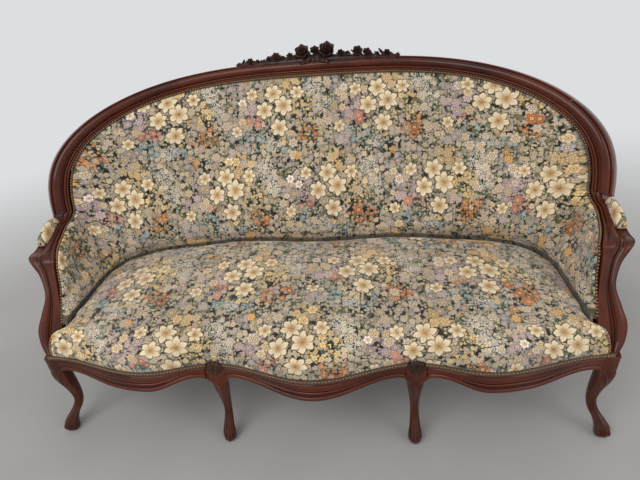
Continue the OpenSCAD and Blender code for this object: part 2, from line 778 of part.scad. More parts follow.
// The canvas rises in level rings from the frame to a flat middle; k is the ring's size
function canvas_level(k) = canvas_z0 + canvas_rise * ease((0.92 - k) / 0.4);
function ring_size(x, y) = y > plan_y
    ? pow(pow(abs(x) / crevice_x, plan_power_share) + pow((y - plan_y) / crevice_run, plan_power_share),
          1 / plan_power_share)
    : max(abs(x) / crevice_x, (plan_y - y) / (plan_y - front_at(x)));

module seat_springs() {
    foot = web_h - gap / 2 + spring_wire / 2;
    turns = 2.25;
    rings = 13;
    color("silver") for (side = [-1, 1]) on_side(side) for (x = web_x, y = web_y) {
        size = max(ring_size(x + spring_r, y), ring_size(x, y + spring_r), ring_size(x, y - spring_r));
        head = canvas_level(size) - spring_wire;
        translate([x, y, 0]) loft([for (i = [0 : rings])
            let (a = 360 * turns * i / rings,
                 k = spring_r * mix(1, 0.7, sin(180 * i / rings)),
                 z = mix(foot, head, ease(i / rings)))
            [for (j = [0 : 2])
                let (b = 120 * j, r = k + spring_wire / 2 * cos(b))
                [r * cos(a), r * sin(a), z - spring_wire / 2 * sin(b)]]]);
    }
}

// Outline of the seat's right half, from the front's middle round to the back's middle:
// [x, y, weight of the front's shape]
ear_room = 4;
ear_in = 13;
ear_run = 46;
seat_front = [for (i = [0 : 13]) let (x = (post_in - ear_room) * i / 13) [x, front_at(x), 1]];
seat_ear = [[corner_x - ear_in, corner_y + ear_room, 1],
    [corner_x - ear_in * 1.3, corner_y + ear_run * 0.35, 0.3],
    [crevice_x + ear_in * 0.8, corner_y + ear_run, 0]];
seat_side = [for (i = [17 : -1 : 0])
    let (p = plan_at(round_at(i / 10), crevice_x, crevice_run)) [p[0], p[1], 0]];
seat_half = concat(seat_front, seat_ear, seat_side);
seat_outline = concat(seat_half,
    [for (i = [len(seat_half) - 2 : -1 : 1]) [-seat_half[i][0], seat_half[i][1], seat_half[i][2]]]);
seat_mid = plan_y;

function seat_top(x, y) =
    let (u = (y - front_at(x)) / seat_depth)
    seat_edge_h + seat_crown * sin(130 * min(1, max(0, u)))
        * (1 - 0.75 * pow(min(1, abs(x) / crevice_x), 3));

// Keeps the corners of the seat in front of the arm stumps
stump_clear = 3;
function before_stump(x, y, z) = abs(x) > crevice_x + stump_clear
    ? min(y, stump_y - stump_clear + stump_lean_share * (z - collar_h)) : y;

// Rings of the cushion's side: inset and rise at the front, inset and rise at the side
side_share = [[0.04, 0, 0.04, 0], [-0.5, 0.16, 0.04, 0.2], [-0.86, 0.42, 0.04, 0.45],
    [-0.7, 0.68, 0.06, 0.7], [-0.1, 0.87, 0.12, 0.87], [0.9, 0.96, 0.5, 0.96], [2.6, 1, 1.7, 1]];

function inset_point(p, d) =
    [p[0] * (1 - max(d, d * (1 - p[2])) / frame_x), seat_mid + (p[1] - seat_mid) * (1 - d / crevice_run)];

function side_ring(r) = [for (p = seat_outline)
    let (d = seat_swell * mix(r[2], r[0], p[2]),
         q = inset_point(p, d),
         base = mix(rim_z, rebate_h + gap, p[2]),
         z = mix(base, seat_top(q[0], q[1]), mix(r[3], r[1], p[2])))
    [q[0], before_stump(q[0], q[1], z), z]];

function flat_ring(d_front, d_side, z_front, z_side) = [for (p = seat_outline)
    let (q = inset_point(p, mix(d_side, d_front, p[2])), z = mix(z_side, z_front, p[2]))
    [q[0], before_stump(q[0], q[1], z), z]];

// Rings of the canvas and, a little above it, of the seat's underside
canvas_shares = [0.05, 0.52, 0.68, 0.8, 0.92];
function canvas_ring(k, off) = [for (p = seat_outline)
    [p[0] * k, seat_mid + (p[1] - seat_mid) * k, canvas_level(k) + off]];

function top_ring(k) = [for (p = seat_outline)
    let (x = p[0] * k, y = seat_mid + (p[1] - seat_mid) * k)
    [x, y, k < 0.1 ? seat_top(0, seat_mid) : seat_top(x, y)]];

module seat_cushion() {
    color("darkseagreen") loft(concat(
        [for (k = canvas_shares) canvas_ring(k, cloth_t + gap)],
        [flat_ring(rebate_d - ear_room, 2 * stump_clear, rim_z, rim_z)],
        [flat_ring(rebate_d - ear_room, stump_clear, rebate_h + gap, rim_z)],
        [for (r = side_share) side_ring(r)],
        [top_ring(0.82), top_ring(0.6), top_ring(0.35), top_ring(0.05)]));
}

// The canvas reaches on to the rails past the seat's outline
canvas_lap = 4;
function canvas_rim(off) = [for (p = seat_outline)
    let (grow_x = (frame_x - rail_t + canvas_lap) / crevice_x,
         grow_y = (frame_run - rail_t + canvas_lap) / crevice_run)
    [p[2] > 0.1 ? p[0] : p[0] * grow_x,
     p[2] > 0.1 ? p[1] + rebate_d + 1.5 * canvas_lap
         : plan_y + (p[1] - plan_y) * (p[1] > plan_y ? grow_y : 1),
     canvas_z0 + off]];

module spring_canvas() {
    color("tan") difference() {
        loft(concat(
            [for (k = canvas_shares) canvas_ring(k, 0)],
            [canvas_rim(0), canvas_rim(cloth_t)],
            [for (i = [len(canvas_shares) - 1 : -1 : 0]) canvas_ring(canvas_shares[i], cloth_t)]));
        for (side = [-1, 1]) on_side(side) {
            rear_post_area(frame_h - over, frame_h + post_rise);
            back_post_area(frame_h - over, frame_h + post_rise);
            translate([crevice_x, front_y, frame_h - over])
                cube([corner_post * 2, corner_leg_y + corner_post * 1.6 - front_y, post_rise]);
        }
    }
}

// Back: one cushion that runs from stump to stump inside the show-wood

// The crevice keeps to the chords of the seat's outline
function crevice_at(s) =
    let (i = floor(s * 10 + 0.001), f = s * 10 - i)
    mix(plan_at(round_at(i / 10), crevice_x, crevice_run),
        plan_at(round_at((i + 1) / 10), crevice_x, crevice_run), max(0, f));

// Sizes of the back's edge: how deep the crease lies in the seat, where the edge thins out,
// how thick the back is at its foot, and how far its edge rolls in beside the braid
crease_in = 3;
edge_run = 90;
root_t = 44;
root_end_t = 15;
edge_d = 12;
roll_in = 20;
roll_out = 5;
braid_side = 1.5;
swell_run = 500;

// What a section of the back needs at s: frame, crevice, inward normal, seat height, how full it is
function back_at_s(s) =
    let (f = frame_at(s),
         k = crevice_at(s),
         n = plan_normal(round_at(s), crevice_x, crevice_run),
         z = seat_top(k[0], k[1]) - crease_in)
    [f, k, [n[0], n[1], 0], z, min(1, norm(f[0] - [k[0], k[1], z]) / edge_run)];

// Room left between the upholstery and the inner edge of the show-wood
function edge_gap(s, e) = gap * (s > 0.9 ? mix(2, 17, e) : 2);

// Rows up the rear face
function back_rows(s) =
    let (g = back_at_s(s),
         thick = mix(root_t, root_end_t, ease((s - 1.2) / 0.3)),
         rear = [g[1][0], g[1][1], 0] - g[2] * thick,
         low = rear + [0, 0, g[3]],
         high = in_frame(g[0], -edge_gap(s, g[4]), -edge_d * g[4]))
    [rear + [0, 0, rim_z + over], rear + [0, 0, mix(rim_z, g[3], 0.7)], mix(low, high, 0.4),
     mix(low, high, 0.75), high];

swell_share = [[0.1, 0.22], [0.25, 0.26], [0.42, 0.22], [0.58, 0.5], [0.74, 0.92], [0.9, 0.8]];
function back_ring(s) =
    let (g = back_at_s(s),
         f = g[0],
         e = g[4],
         crease = [g[1][0], g[1][1], g[3]],
         top = in_frame(f, -roll_in * e, roll_out * e),
         swell = back_swell * min(1, norm(f[0] - crease) / swell_run))
    concat(back_rows(s),
        [in_frame(f, -edge_gap(s, e), -roll_out * e),
         in_frame(f, -(braid_w + braid_side) * e, -roll_out * e), top],
        [for (b = swell_share)
            mix(top, crease, b[0]) + unit(mix(f[2], g[2], b[0])) * swell * b[1]],
        [crease, [g[1][0], g[1][1], rim_z + over]]);

back_end_share = 34 * step_share;
module back_cushion() {
    color("darkseagreen") loft_both([for (s = stations(0, back_end_share)) back_ring(s)]);
}

// Webbing strips close behind the back, each between two stations
module back_webbing() {
    color("tan") for (side = [-1, 1]) on_side(side)
        for (s = [2, 5, 8, 11, 14] * step_share) {
            rows = [back_rows(s), back_rows(s + step_share)];
            n = [back_at_s(s)[2], back_at_s(s + step_share)[2]];
            loft([for (v = [1, 2, 3, 3.97])
                let (i = min(3, floor(v)),
                     a = mix(rows[0][i], rows[0][i + 1 > 4 ? 4 : i + 1], v - i),
                     b = mix(rows[1][i], rows[1][i + 1 > 4 ? 4 : i + 1], v - i))
                [a - n[0] * gap, b - n[1] * gap, b - n[1] * (gap + web_t), a - n[0] * (gap + web_t)]]);
        }
}

// Arm pads on the rebate of each arm rail

pad_places = [0, 0.05, 0.12, 0.3, 0.5, 0.7, 0.88, 0.95, 1];
module arm_pad(side) {
    color("darkseagreen") on_side(side)
        loft([for (v = pad_places)
            let (s = mix(1.045, 1.28, v),
                 f = frame_at(s),
                 full = sqrt(max(0.06, 1 - pow(abs(2 * v - 1), 2.6))),
                 low = slack - 0.22 * mix(rail_d, stump_d, ease(s - 1)),
                 mid = 0.8 * f[3],
                 half = 0.26 * f[3] * mix(0.6, 1, full))
            concat([in_frame(f, mid + half, low)],
                   [for (a = [0 : 22.5 : 180])
                       in_frame(f, mid + half * 1.08 * cos(a), low + over + (pad_h - low) * full * sin(a))],
                   [in_frame(f, mid - half, low)])]);
}

// Outside covers, from the back of the show-wood down to the seat frame

function cover_ring(s) =
    let (f = frame_at(s),
         w = round_at(s),
         n = plan_normal(w, frame_x, frame_run),
         q = plan_at(w, frame_x, frame_run) - n * slack,
         a = mix(0.1, 0.8, ease((s - 0.5) * 1.6)),
         clear = slack * (0.7 + 2 * ease(1 - abs(s - 1) / 0.1)),
         edge = in_frame(f, a * f[3], -mix(rail_d, stump_d, ease(s - 1)) - clear),
         top = s > 1.4 ? [max(edge[0], frame_x + slack), edge[1], edge[2]] : edge,
         low = [q[0], q[1], web_h + cover_lift],
         out = [-n[0], -n[1], 0])
    [low, low + out * cover_t, top + unit(mix(out, -f[2], 0.7)) * cover_t, top];

cover_lift = 4;
cover_share = 15 * step_share;
module outside_back() {
    color("dimgray") loft_both([for (s = stations(0, cover_share)) cover_ring(s)]);
}

module outside_arm(side) {
    color("dimgray") on_side(side)
        loft(concat([cover_ring(cover_share + step_share / 20)],
            [for (s = stations(cover_share + step_share, 1.85)) cover_ring(s)]));
}

// Braid round the back and round the seat

module back_braid() {
    color("#7a5a34")
        loft_both([for (s = stations(0, back_end_share))
            let (g = back_at_s(s), e = g[4], b = 2 * gap - roll_out * e, a = edge_gap(s, e) - gap)
            [for (p = [[-braid_w * e, b], [-a, b], [-a, b + braid_t], [-braid_w * e, b + braid_t]])
                in_frame(g[0], p[0], p[1])]]);
}

module seat_braid() {
    edge = post_in + corner_post * 0.55;
    color("#7a5a34")
        loft([for (i = [-34 : 34])
            let (x = edge * i / 34, y = front_at(x) - gap * 1.5)
            [[x, y - braid_t, braid_z], [x, y, braid_z], [x, y, rebate_h], [x, y - braid_t, rebate_h]]]);
}

// Black dust cover under the webbing
dust_in = 14;
dust_room = 3;
module dust_cover() {
    z = web_h - gap - 3 * web_t - gap;
    back = frame_edge(dust_in, 30);
    front = [for (i = [0 : 24])
        let (x = mix(back[30][0], 0, i / 24)) [x, front_at(x) + lip_t + dust_room]];
    deep = 4 * over;
    color("#202020") difference() {
        union() {
            for (side = [-1, 1]) on_side(side)
                translate([0, 0, z]) linear_extrude(web_t) polygon(concat(back, front));
        }
        for (side = [-1, 1]) on_side(side) {
            translate([post_in - 2 * dust_room, corner_y - 2 * dust_room, z - over])
                cube([corner_post + 4 * dust_room, corner_post + 4 * dust_room, deep]);
            translate([inner_leg_x - inner_post_w / 2 - dust_room, recess_y - dust_room, z - over])
                cube([inner_post_w + 2 * dust_room, inner_post_d + 2 * dust_room, deep]);
            translate([back_at[0] - back_post_w / 2 - dust_room,
                       back_at[1] - back_post_d / 2 - dust_room, z - over])
                cube([back_post_w + 2 * dust_room, back_post_d + 7 * dust_room, deep]);
            translate([rear_at[0], rear_at[1], z - over]) rotate(rear_turn)
                translate([-rear_post / 2 - dust_room, -rear_post / 2 - dust_room, 0])
                    cube([rear_post + 10 * dust_room, rear_post + 2 * dust_room, deep]);
        }
    }
}

top_rail();
crest_carving();
shoulder_rail(-1);  // left_shoulder_rail
shoulder_rail(1);  // right_shoulder_rail
arm_rail(-1);  // left_arm_rail
arm_rail(1);  // right_arm_rail
arm_stump(-1);  // left_arm_stump
arm_stump(1);  // right_arm_stump
corner_leg(-1);  // left_corner_leg
corner_leg(1);  // right_corner_leg
inner_leg(-1);  // left_inner_leg
inner_leg(1);  // right_inner_leg
side_apron(-1);  // left_apron
centre_apron();
side_apron(1);  // right_apron
side_rail(-1);  // left_side_rail
side_rail(1);  // right_side_rail
rear_rail(-1);  // left_rear_rail
centre_rear_rail();
rear_rail(1);  // right_rear_rail
rear_leg(-1);  // left_rear_leg
rear_leg(1);  // right_rear_leg
back_leg(-1);  // left_back_leg
back_leg(1);  // right_back_leg
arm_upright(-1);  // left_arm_upright
arm_upright(1);  // right_arm_upright
tacking_rails();
seat_braces();
corner_blocks();
block_screws();
rail_dowels();
seat_webbing();
seat_springs();
spring_canvas();
seat_cushion();
back_webbing();
back_cushion();
arm_pad(-1);  // left_arm_pad
arm_pad(1);  // right_arm_pad
outside_back();
outside_arm(-1);  // left_outside_arm
outside_arm(1);  // right_outside_arm
back_braid();
seat_braid();
dust_cover();
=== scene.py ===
# Cabriole sofa: moulded show wood, a carved crest, a sprung and tight tapestry seat.
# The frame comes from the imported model. Sizes are in millimetres, and sew() puts every mesh
# into Blender in metres. The front faces -Y, and the origin is on the floor under the middle.
import math
import bpy
import numpy as np
from mathutils import Matrix


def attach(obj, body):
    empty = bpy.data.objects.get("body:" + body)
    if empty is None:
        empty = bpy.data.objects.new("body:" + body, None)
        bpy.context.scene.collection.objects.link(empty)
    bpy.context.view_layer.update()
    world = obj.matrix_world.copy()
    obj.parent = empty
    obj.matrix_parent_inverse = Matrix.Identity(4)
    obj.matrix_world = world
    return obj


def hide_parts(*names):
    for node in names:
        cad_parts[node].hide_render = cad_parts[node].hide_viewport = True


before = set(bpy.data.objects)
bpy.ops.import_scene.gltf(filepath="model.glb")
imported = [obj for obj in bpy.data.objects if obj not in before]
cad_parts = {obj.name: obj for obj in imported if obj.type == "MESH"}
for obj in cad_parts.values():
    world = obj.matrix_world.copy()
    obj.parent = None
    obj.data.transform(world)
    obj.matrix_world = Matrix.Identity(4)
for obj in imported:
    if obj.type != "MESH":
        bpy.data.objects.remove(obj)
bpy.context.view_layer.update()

# ---------------------------------------------------------------- Studio
# A pale floor that runs out to a pale ground, a large soft lamp above the front and a weaker
# one at the right. The camera stands where the photograph was taken, a little to the right.

mm = 0.001


def mix(a, b, t):
    """The value that lies the share t of the way from a to b."""
    return a + (b - a) * t


def ease(t):
    """Half a cosine wave, from 0 at t = 0 to 1 at t = 1."""
    return (1 - np.cos(np.pi * np.clip(t, 0, 1))) / 2


def bell(x, width):
    """A bell curve, 1 at x = 0: e to the power of minus the square of x over the width."""
    return np.exp(-(x / width) ** 2)


def unit(v):
    """Each vector divided by its own length."""
    return v / np.linalg.norm(v, axis=-1, keepdims=True)


def run_along(points, axis=0):
    """The distance run along lines of points: 0, and then the sum of the steps so far."""
    steps = np.linalg.norm(np.diff(points, axis=axis), axis=-1)
    return np.cumsum(np.concatenate([0 * np.take(steps, [0], axis), steps], axis), axis)


class Strand:
    """One output of a material's nodes. Arithmetic between strands and numbers adds Math nodes,
    pick() mixes two colours by it, and node() adds any other node."""

    def __init__(self, tree, socket=None):
        self.tree, self.socket = tree, socket

    def node(self, kind, inputs=None, out=0, **settings):
        """Any node, with its settings, its inputs from strands or values, and one output."""
        made = self.tree.nodes.new(kind)
        for name, value in settings.items():
            setattr(made, name, value)
        for name, value in (inputs or {}).items():
            if isinstance(value, Strand):
                self.tree.links.new(value.socket, made.inputs[name])
            else:
                made.inputs[name].default_value = value
        return Strand(self.tree, made.outputs[out] if len(made.outputs) else made)

    def math(self, operation, *others):
        """The operation of a Math node on this strand and the others."""
        return self.node("ShaderNodeMath", dict(enumerate([self, *others])), operation=operation)

    def __add__(self, b): return self.math("ADD", b)
    def __sub__(self, b): return self.math("SUBTRACT", b)
    def __mul__(self, b): return self.math("MULTIPLY", b)
    def __truediv__(self, b): return self.math("DIVIDE", b)
    def __pow__(self, b): return self.math("POWER", b)

    def vector(self, operation, other=None, out=0):
        """The operation of a Vector Math node on this strand and a point or another strand."""
        inputs = {0: self} if other is None else {0: self, 1: other}
        return self.node("ShaderNodeVectorMath", inputs, out, operation=operation)

    def at(self, where):
        """Coordinates in metres: Object through the solid piece, or UV along its surface."""
        return self.node("ShaderNodeTexCoord", out=where)

    def ramp(self, low, high, start=0.0, end=1.0):
        """A smooth step from start where the strand is low to end where it is high."""
        return self.node("ShaderNodeMapRange", {0: self, 1: low, 2: high, 3: start, 4: end},
                         interpolation_type="SMOOTHSTEP")

    def pick(self, a, b):
        """The colour a where the strand is 0, and b where it is 1."""
        a, b = (c if isinstance(c, Strand) else (*c, 1.0) for c in (a, b))
        return self.node("ShaderNodeMix", {0: self, 6: a, 7: b}, out=2, data_type="RGBA")

    def shade(self, amount):
        """The colour multiplied by a grey amount."""
        grey = self.node("ShaderNodeCombineColor", {0: amount, 1: amount, 2: amount})
        return self.node("ShaderNodeMix", {0: 1.0, 6: self, 7: grey}, out=2, data_type="RGBA",
                         blend_type="MULTIPLY")

    def noise(self, scale, detail=3.0, rough=0.55, kind="3D"):
        """Soft noise of about 0.5, with this many waves to the metre."""
        return self.node("ShaderNodeTexNoise", {"Vector": self, "Scale": scale, "Detail": detail,
                                                "Roughness": rough}, noise_dimensions=kind)

    def cells(self, scale, scatter):
        """The point of the nearest cell of a flat scatter, and three chances for that cell."""
        place = self.node("ShaderNodeTexVoronoi", {"Vector": self, "Scale": scale,
                                                   "Randomness": scatter},
                          voronoi_dimensions="2D", out="Position")
        return place, Strand(self.tree, place.socket.node.outputs["Color"])

    def stretched(self, x, y, z):
        """Coordinates multiplied by x, y and z, so that noise of scale 1 has waves that fine."""
        return self.vector("MULTIPLY", (x, y, z))

    def part(self, i):
        """The x, y or z of a vector."""
        return self.node("ShaderNodeSeparateXYZ", {0: self}, out=i)


def finish(name, colour, roughness, bump=None, bump_depth=0.001, bump_share=1.0, coat=0.0,
           metallic=0.0, sheen=0.0, gloss=0.5):
    """A material. colour, bump and mostly roughness are functions of an empty strand."""
    material = bpy.data.materials.new(name)
    material.use_nodes = True
    tree = material.node_tree
    tree.nodes.clear()
    start = Strand(tree)
    shader = tree.nodes.new("ShaderNodeBsdfPrincipled")
    out = tree.nodes.new("ShaderNodeOutputMaterial")
    tree.links.new(shader.outputs[0], out.inputs[0])
    tree.links.new(colour(start).socket, shader.inputs["Base Color"])
    if callable(roughness):
        tree.links.new(roughness(start).socket, shader.inputs["Roughness"])
    else:
        shader.inputs["Roughness"].default_value = roughness
    if bump:
        bumped = start.node("ShaderNodeBump", {"Height": bump(start), "Distance": bump_depth,
                                               "Strength": bump_share})
        tree.links.new(bumped.socket, shader.inputs["Normal"])
    for key, value in (("Metallic", metallic), ("Coat Weight", coat), ("Coat Roughness", 0.09),
                       ("Specular IOR Level", gloss), ("Sheen Weight", sheen),
                       ("Sheen Roughness", 0.5)):
        shader.inputs[key].default_value = value
    return material


def sew(name, points, faces, material, smooth=60, places=None, worn=None):
    """Puts a mesh into the scene: points in millimetres, faces as arrays of corner numbers.
    places holds one pair of cloth or grain coordinates, in metres, for each face corner, and
    worn one number for each point."""
    mesh = bpy.data.meshes.new(name)
    sizes = np.concatenate([np.full(len(f), f.shape[1]) for f in faces])
    loops = np.concatenate([f.ravel() for f in faces])
    mesh.vertices.add(len(points))
    mesh.vertices.foreach_set("co", (points * mm).ravel())
    mesh.loops.add(len(loops))
    mesh.loops.foreach_set("vertex_index", loops.astype(np.int32))
    mesh.polygons.add(len(sizes))
    starts = np.concatenate([[0], np.cumsum(sizes)[:-1]])
    mesh.polygons.foreach_set("loop_start", starts.astype(np.int32))
    mesh.update(calc_edges=True)
    mesh.validate()
    if places is not None:
        mesh.uv_layers.new(name="cloth").data.foreach_set("uv", places.ravel())
    if worn is not None:
        mesh.attributes.new("worn", "FLOAT", "POINT").data.foreach_set("value", worn)
    mesh.shade_smooth()
    mesh.set_sharp_from_angle(angle=math.radians(smooth))
    mesh.materials.append(material)
    piece = bpy.data.objects.new(name, mesh)
    bpy.context.scene.collection.objects.link(piece)
    return piece


def grid_faces(n, m, closed=True):
    """The corner numbers of the faces between n rings of m points, and those of the fans that
    close a tube's two ends round the points n * m and n * m + 1."""
    i, j = np.meshgrid(np.arange(n - 1), np.arange(m if closed else m - 1), indexing="ij")
    i, j = i.ravel(), j.ravel()
    k = (j + 1) % m
    quads = np.stack([i * m + j, (i + 1) * m + j, (i + 1) * m + k, i * m + k], 1)
    j, last = np.arange(m), (n - 1) * m
    k = (j + 1) % m
    fans = np.concatenate([np.stack([j, k, np.full(m, n * m)], 1),
                           np.stack([last + k, last + j, np.full(m, n * m + 1)], 1)])
    return quads, fans


def faces_outward(points, quads):
    """True where a closed mesh faces outward: the tetrahedra from its middle to its faces add up
    to a positive volume."""
    a, b, c, d = (points[quads[:, q]] - points.mean(0) for q in range(4))
    return np.sum(np.einsum("ij,ij->i", a, np.cross(b, c) + np.cross(c, d))) > 0


def carve(name, rings, material, u=None, v=None, closed=True, smooth=60, worn=True):
    """A surface through rings[i, j]: a tube whose rings close on themselves, with its two ends
    filled, or an open sheet. u and v give the coordinates of the grid's lines, in metres. worn
    marks edges and grooves: how far a point stands out, along the ring's normal, from the mean
    of its four neighbours round the ring, over the distance between the nearest two."""
    n, m = rings.shape[:2]
    across = run_along(np.concatenate([rings, rings[:, :1]], 1) if closed else rings, 1) * mm
    u = np.broadcast_to(run_along(rings.mean(1))[:, None] * mm, across.shape) if u is None else u
    v = across if v is None else v
    quads, fans = grid_faces(n, m, closed)
    places = np.stack([np.stack([w[:-1, :-1], w[1:, :-1], w[1:, 1:], w[:-1, 1:]], 2).reshape(-1, 4)
                       for w in (u, v)], 2)
    points, faces, places = rings.reshape(-1, 3), [quads], [places]
    proud = None
    if worn:
        four = sum(np.roll(rings, step, 1) for step in (1, -1, 2, -2))
        onward = np.roll(rings, -1, 1) - np.roll(rings, 1, 1)
        normal = np.cross(unit(np.gradient(rings.mean(1), axis=0))[:, None, :], onward)
        normal /= np.linalg.norm(normal, axis=-1, keepdims=True) + 1e-9
        apart = np.linalg.norm(onward, axis=-1) + 0.05
        proud = (np.einsum("ijk,ijk->ij", rings - four / 4, normal) / apart).ravel()
    if closed:
        points = np.concatenate([points, rings[0].mean(0)[None], rings[-1].mean(0)[None]])
        faces.append(fans)
        places.append(points[fans][..., :2] * mm)
        proud = np.append(proud, [0, 0]) if worn else None
        if not faces_outward(points, quads):
            faces = [f[:, ::-1] for f in faces]
            places = [p[:, ::-1] for p in places]
            proud = -proud if worn else None
    return sew(name, points, faces, material, smooth,
               np.concatenate([p.reshape(-1, 2) for p in places]), proud)


def in_plain_view(start):
    """1 for rays from the camera, a mirror or glass, which see the pale ground, and else 0."""
    ray = {kind: start.node("ShaderNodeLightPath", out="Is %s Ray" % kind)
           for kind in ("Camera", "Glossy", "Transmission")}
    return ray["Camera"].math("MAXIMUM", ray["Glossy"].math("MAXIMUM", ray["Transmission"]))


pale_ground = (0.72, 0.73, 0.74, 1)
world = bpy.data.worlds.new("studio")
bpy.context.scene.world = world
world.use_nodes = True
world.node_tree.nodes.clear()
sky = Strand(world.node_tree)
from_wall = sky.at("Generated").part(1).ramp(-0.1, 0.7, 0.6, 0.46)
plain = sky.node("ShaderNodeBackground", {"Color": (1.0, 0.98, 0.96, 1), "Strength": from_wall})
pale = sky.node("ShaderNodeBackground", {"Color": pale_ground, "Strength": 1.0})
shown = sky.node("ShaderNodeMixShader", {0: in_plain_view(sky), 1: plain, 2: pale})
sky.node("ShaderNodeOutputWorld", {0: shown})


def floor_colour(start):
    """Pale grey concrete with fine specks and slow clouds."""
    place = start.at("Object")
    speck = place.noise(240, 2).ramp(0.3, 0.7)
    cloud = place.noise(1.6, 2).ramp(0.3, 0.7)
    return cloud.pick((0.4, 0.395, 0.385), (0.45, 0.445, 0.435)).shade(speck * 0.1 + 0.94)


floor_pale = finish("floor_pale", floor_colour, 0.75)
ground = Strand(floor_pale.node_tree)
far_off = ground.at("Object").vector("DISTANCE", (0, -0.6, 0), "Value").ramp(1.2, 4.2)
haze = ground.node("ShaderNodeEmission", {"Color": pale_ground, "Strength": 1.0})
shader, output = (next(n for n in ground.tree.nodes if n.type == kind)
                  for kind in ("BSDF_PRINCIPLED", "OUTPUT_MATERIAL"))
blend = ground.node("ShaderNodeMixShader", {0: far_off * in_plain_view(ground),
                                            1: Strand(ground.tree, shader.outputs[0]), 2: haze})
ground.tree.links.new(blend.socket, output.inputs[0])
floor_half, crowding, floor_lines = 60000, 5.2, 41
reach = np.sinh(np.linspace(-crowding, crowding, floor_lines)) / np.sinh(crowding) * floor_half
floor_grid = np.stack([*np.meshgrid(reach, reach), np.zeros((floor_lines,) * 2)], 2)
backdrop = carve("studio_floor", floor_grid, floor_pale, closed=False, worn=False)


def set_up(name, data, across, up, back, place):
    """Puts a lamp or the camera at a place in metres, with its three axes as the columns of its
    matrix; it looks away from back."""
    thing = bpy.data.objects.new(name, data)
    bpy.context.scene.collection.objects.link(thing)
    axes = np.eye(4)
    axes[:3] = np.stack([across, up, back, place], 1)
    thing.matrix_world = Matrix(axes.tolist())
    return thing


for lamp_name, power, size, place, aim in (
        ("key_lamp", 62, 2.6, (-1.4, -2.6, 3.0), (0, 0, 0.45)),
        ("fill_lamp", 22, 2.0, (2.8, -2.2, 2.0), (0, 0, 0.5))):
    lamp_data = bpy.data.lights.new(lamp_name, "AREA")
    lamp_data.energy, lamp_data.size = power, size
    back = unit(np.array(place) - np.array(aim))
    across = unit(np.cross((0, 0, 1), back))
    set_up(lamp_name, lamp_data, across, np.cross(back, across), back, place)

yaw, pitch, roll = -0.12008, 0.49311, -0.087073
focal_px, picture_px, film_w = 478.867, 640, 36
ahead = np.array([math.sin(yaw) * math.cos(pitch), math.cos(yaw) * math.cos(pitch),
                  -math.sin(pitch)])
level = np.array([math.cos(yaw), -math.sin(yaw), 0])
upright = np.cross(level, ahead)
camera_data = bpy.data.cameras.new("camera")
camera_data.sensor_width = film_w
camera_data.lens = focal_px / picture_px * film_w
camera = set_up("camera", camera_data, math.cos(roll) * level + math.sin(roll) * upright,
                -math.sin(roll) * level + math.cos(roll) * upright, -ahead,
                (0.1713, -1.346, 1.2439))
bpy.context.scene.camera = camera
bpy.context.scene.view_settings.view_transform = "Standard"

# ---------------------------------------------------------------- Top rail and shoulders
# The show wood starts as one moulded arch of mahogany in three lengths, dowelled together high
# on the shoulders. A bead, a deep groove and a broad round run along it, French polished.

overall_w, overall_d, back_h, arm_h = 1760, 850, 1011, 620
rail_w, rail_d = 43, 36
shoulder_x = overall_w / 2 + 8
back_front_y = overall_d / 2 - rail_d - 1
back_wrap, back_lean, arch_power = overall_d * 0.334, 0.18, 2.9
joint_s, saw_gap = 0.8, 0.0006


def arch_at(s, inset):
    """The arch of the back: a superellipse of width and height less the inset, leaned back by a
    share of the height and wrapped forward by the cube of the distance from the middle."""
    a = np.pi / 2 * s
    w, h = shoulder_x - inset, back_h - arm_h - inset
    r = (np.abs(np.sin(a) / w) ** arch_power
         + np.abs(np.cos(a) / h) ** arch_power) ** (-1 / arch_power)
    x, z = r * np.sin(a), arm_h + r * np.cos(a)
    y = back_front_y + back_lean * (z - back_h) - back_wrap * (x / shoulder_x) ** 3
    return np.stack([x, y, z], -1)


def through(rows, t):
    """The smooth curve through a table's rows, at the row numbers t. Between two rows it is the
    cubic whose slope at each of them is half the step from its row before to its row after."""
    rows, t = np.asarray(rows, float), np.asarray(t, float)
    last = len(rows) - 1
    i = np.clip(np.floor(t).astype(int), 0, last - 1)
    f = (t - i).reshape(t.shape + (1,) * (rows.ndim - 1))
    a, b, c, d = rows[np.maximum(i - 1, 0)], rows[i], rows[i + 1], rows[np.minimum(i + 2, last)]
    return (b + (c - a) * f / 2 + (2 * a - 5 * b + 4 * c - d) * f * f / 2
            + (3 * b - a - 3 * c + d) * f ** 3 / 2)


corner_x, corner_y, collar_h = 810, -312, 300
stump_y, knuckle_reach, stump_d = corner_y + 20, 70, 30
arm_run = arch_at(np.array(1.0), 0)[1] - stump_y
inner_share = [[0.53, 0.915, 0.919], [0.38, 0.748, 0.875], [0.13, 0.58, 0.85],
               [-0.16, 0.435, 0.8125], [-0.19, 0.38, 0.72], [-0.34, 0.277, 0.525],
               [-0.42, 0.19, 0.35], [-0.42, 0.12, 0.2], [-0.35, 0.05, 0.08], [-0.3, 0, 0]]
outer_share = [[1.14, 0.915, 0.94], [1.1, 0.748, 0.9], [1.06, 0.58, 0.862], [1, 0.429, 0.82],
               [0.485, 0.35, 0.67], [0.24, 0.26, 0.506], [0.44, 0.18, 0.35],
               [0.63, 0.11, 0.2125], [0.53, 0.046, 0.08], [0.29, 0, 0]]


def arm_rows(table, inset):
    """The rows of an edge of the arm: two points on the arch, and then the table's shares of
    the reach, the run and the rise from the stump's foot."""
    t = np.array(table, float)
    rest = np.stack([corner_x + t[:, 0] * knuckle_reach, stump_y + t[:, 1] * arm_run,
                     collar_h + t[:, 2] * (arm_h - collar_h)], -1)
    return np.concatenate([arch_at(np.array([0.9, 1.0]), inset), rest])


inner_rows, outer_rows = arm_rows(inner_share, rail_w), arm_rows(outer_share, 0)


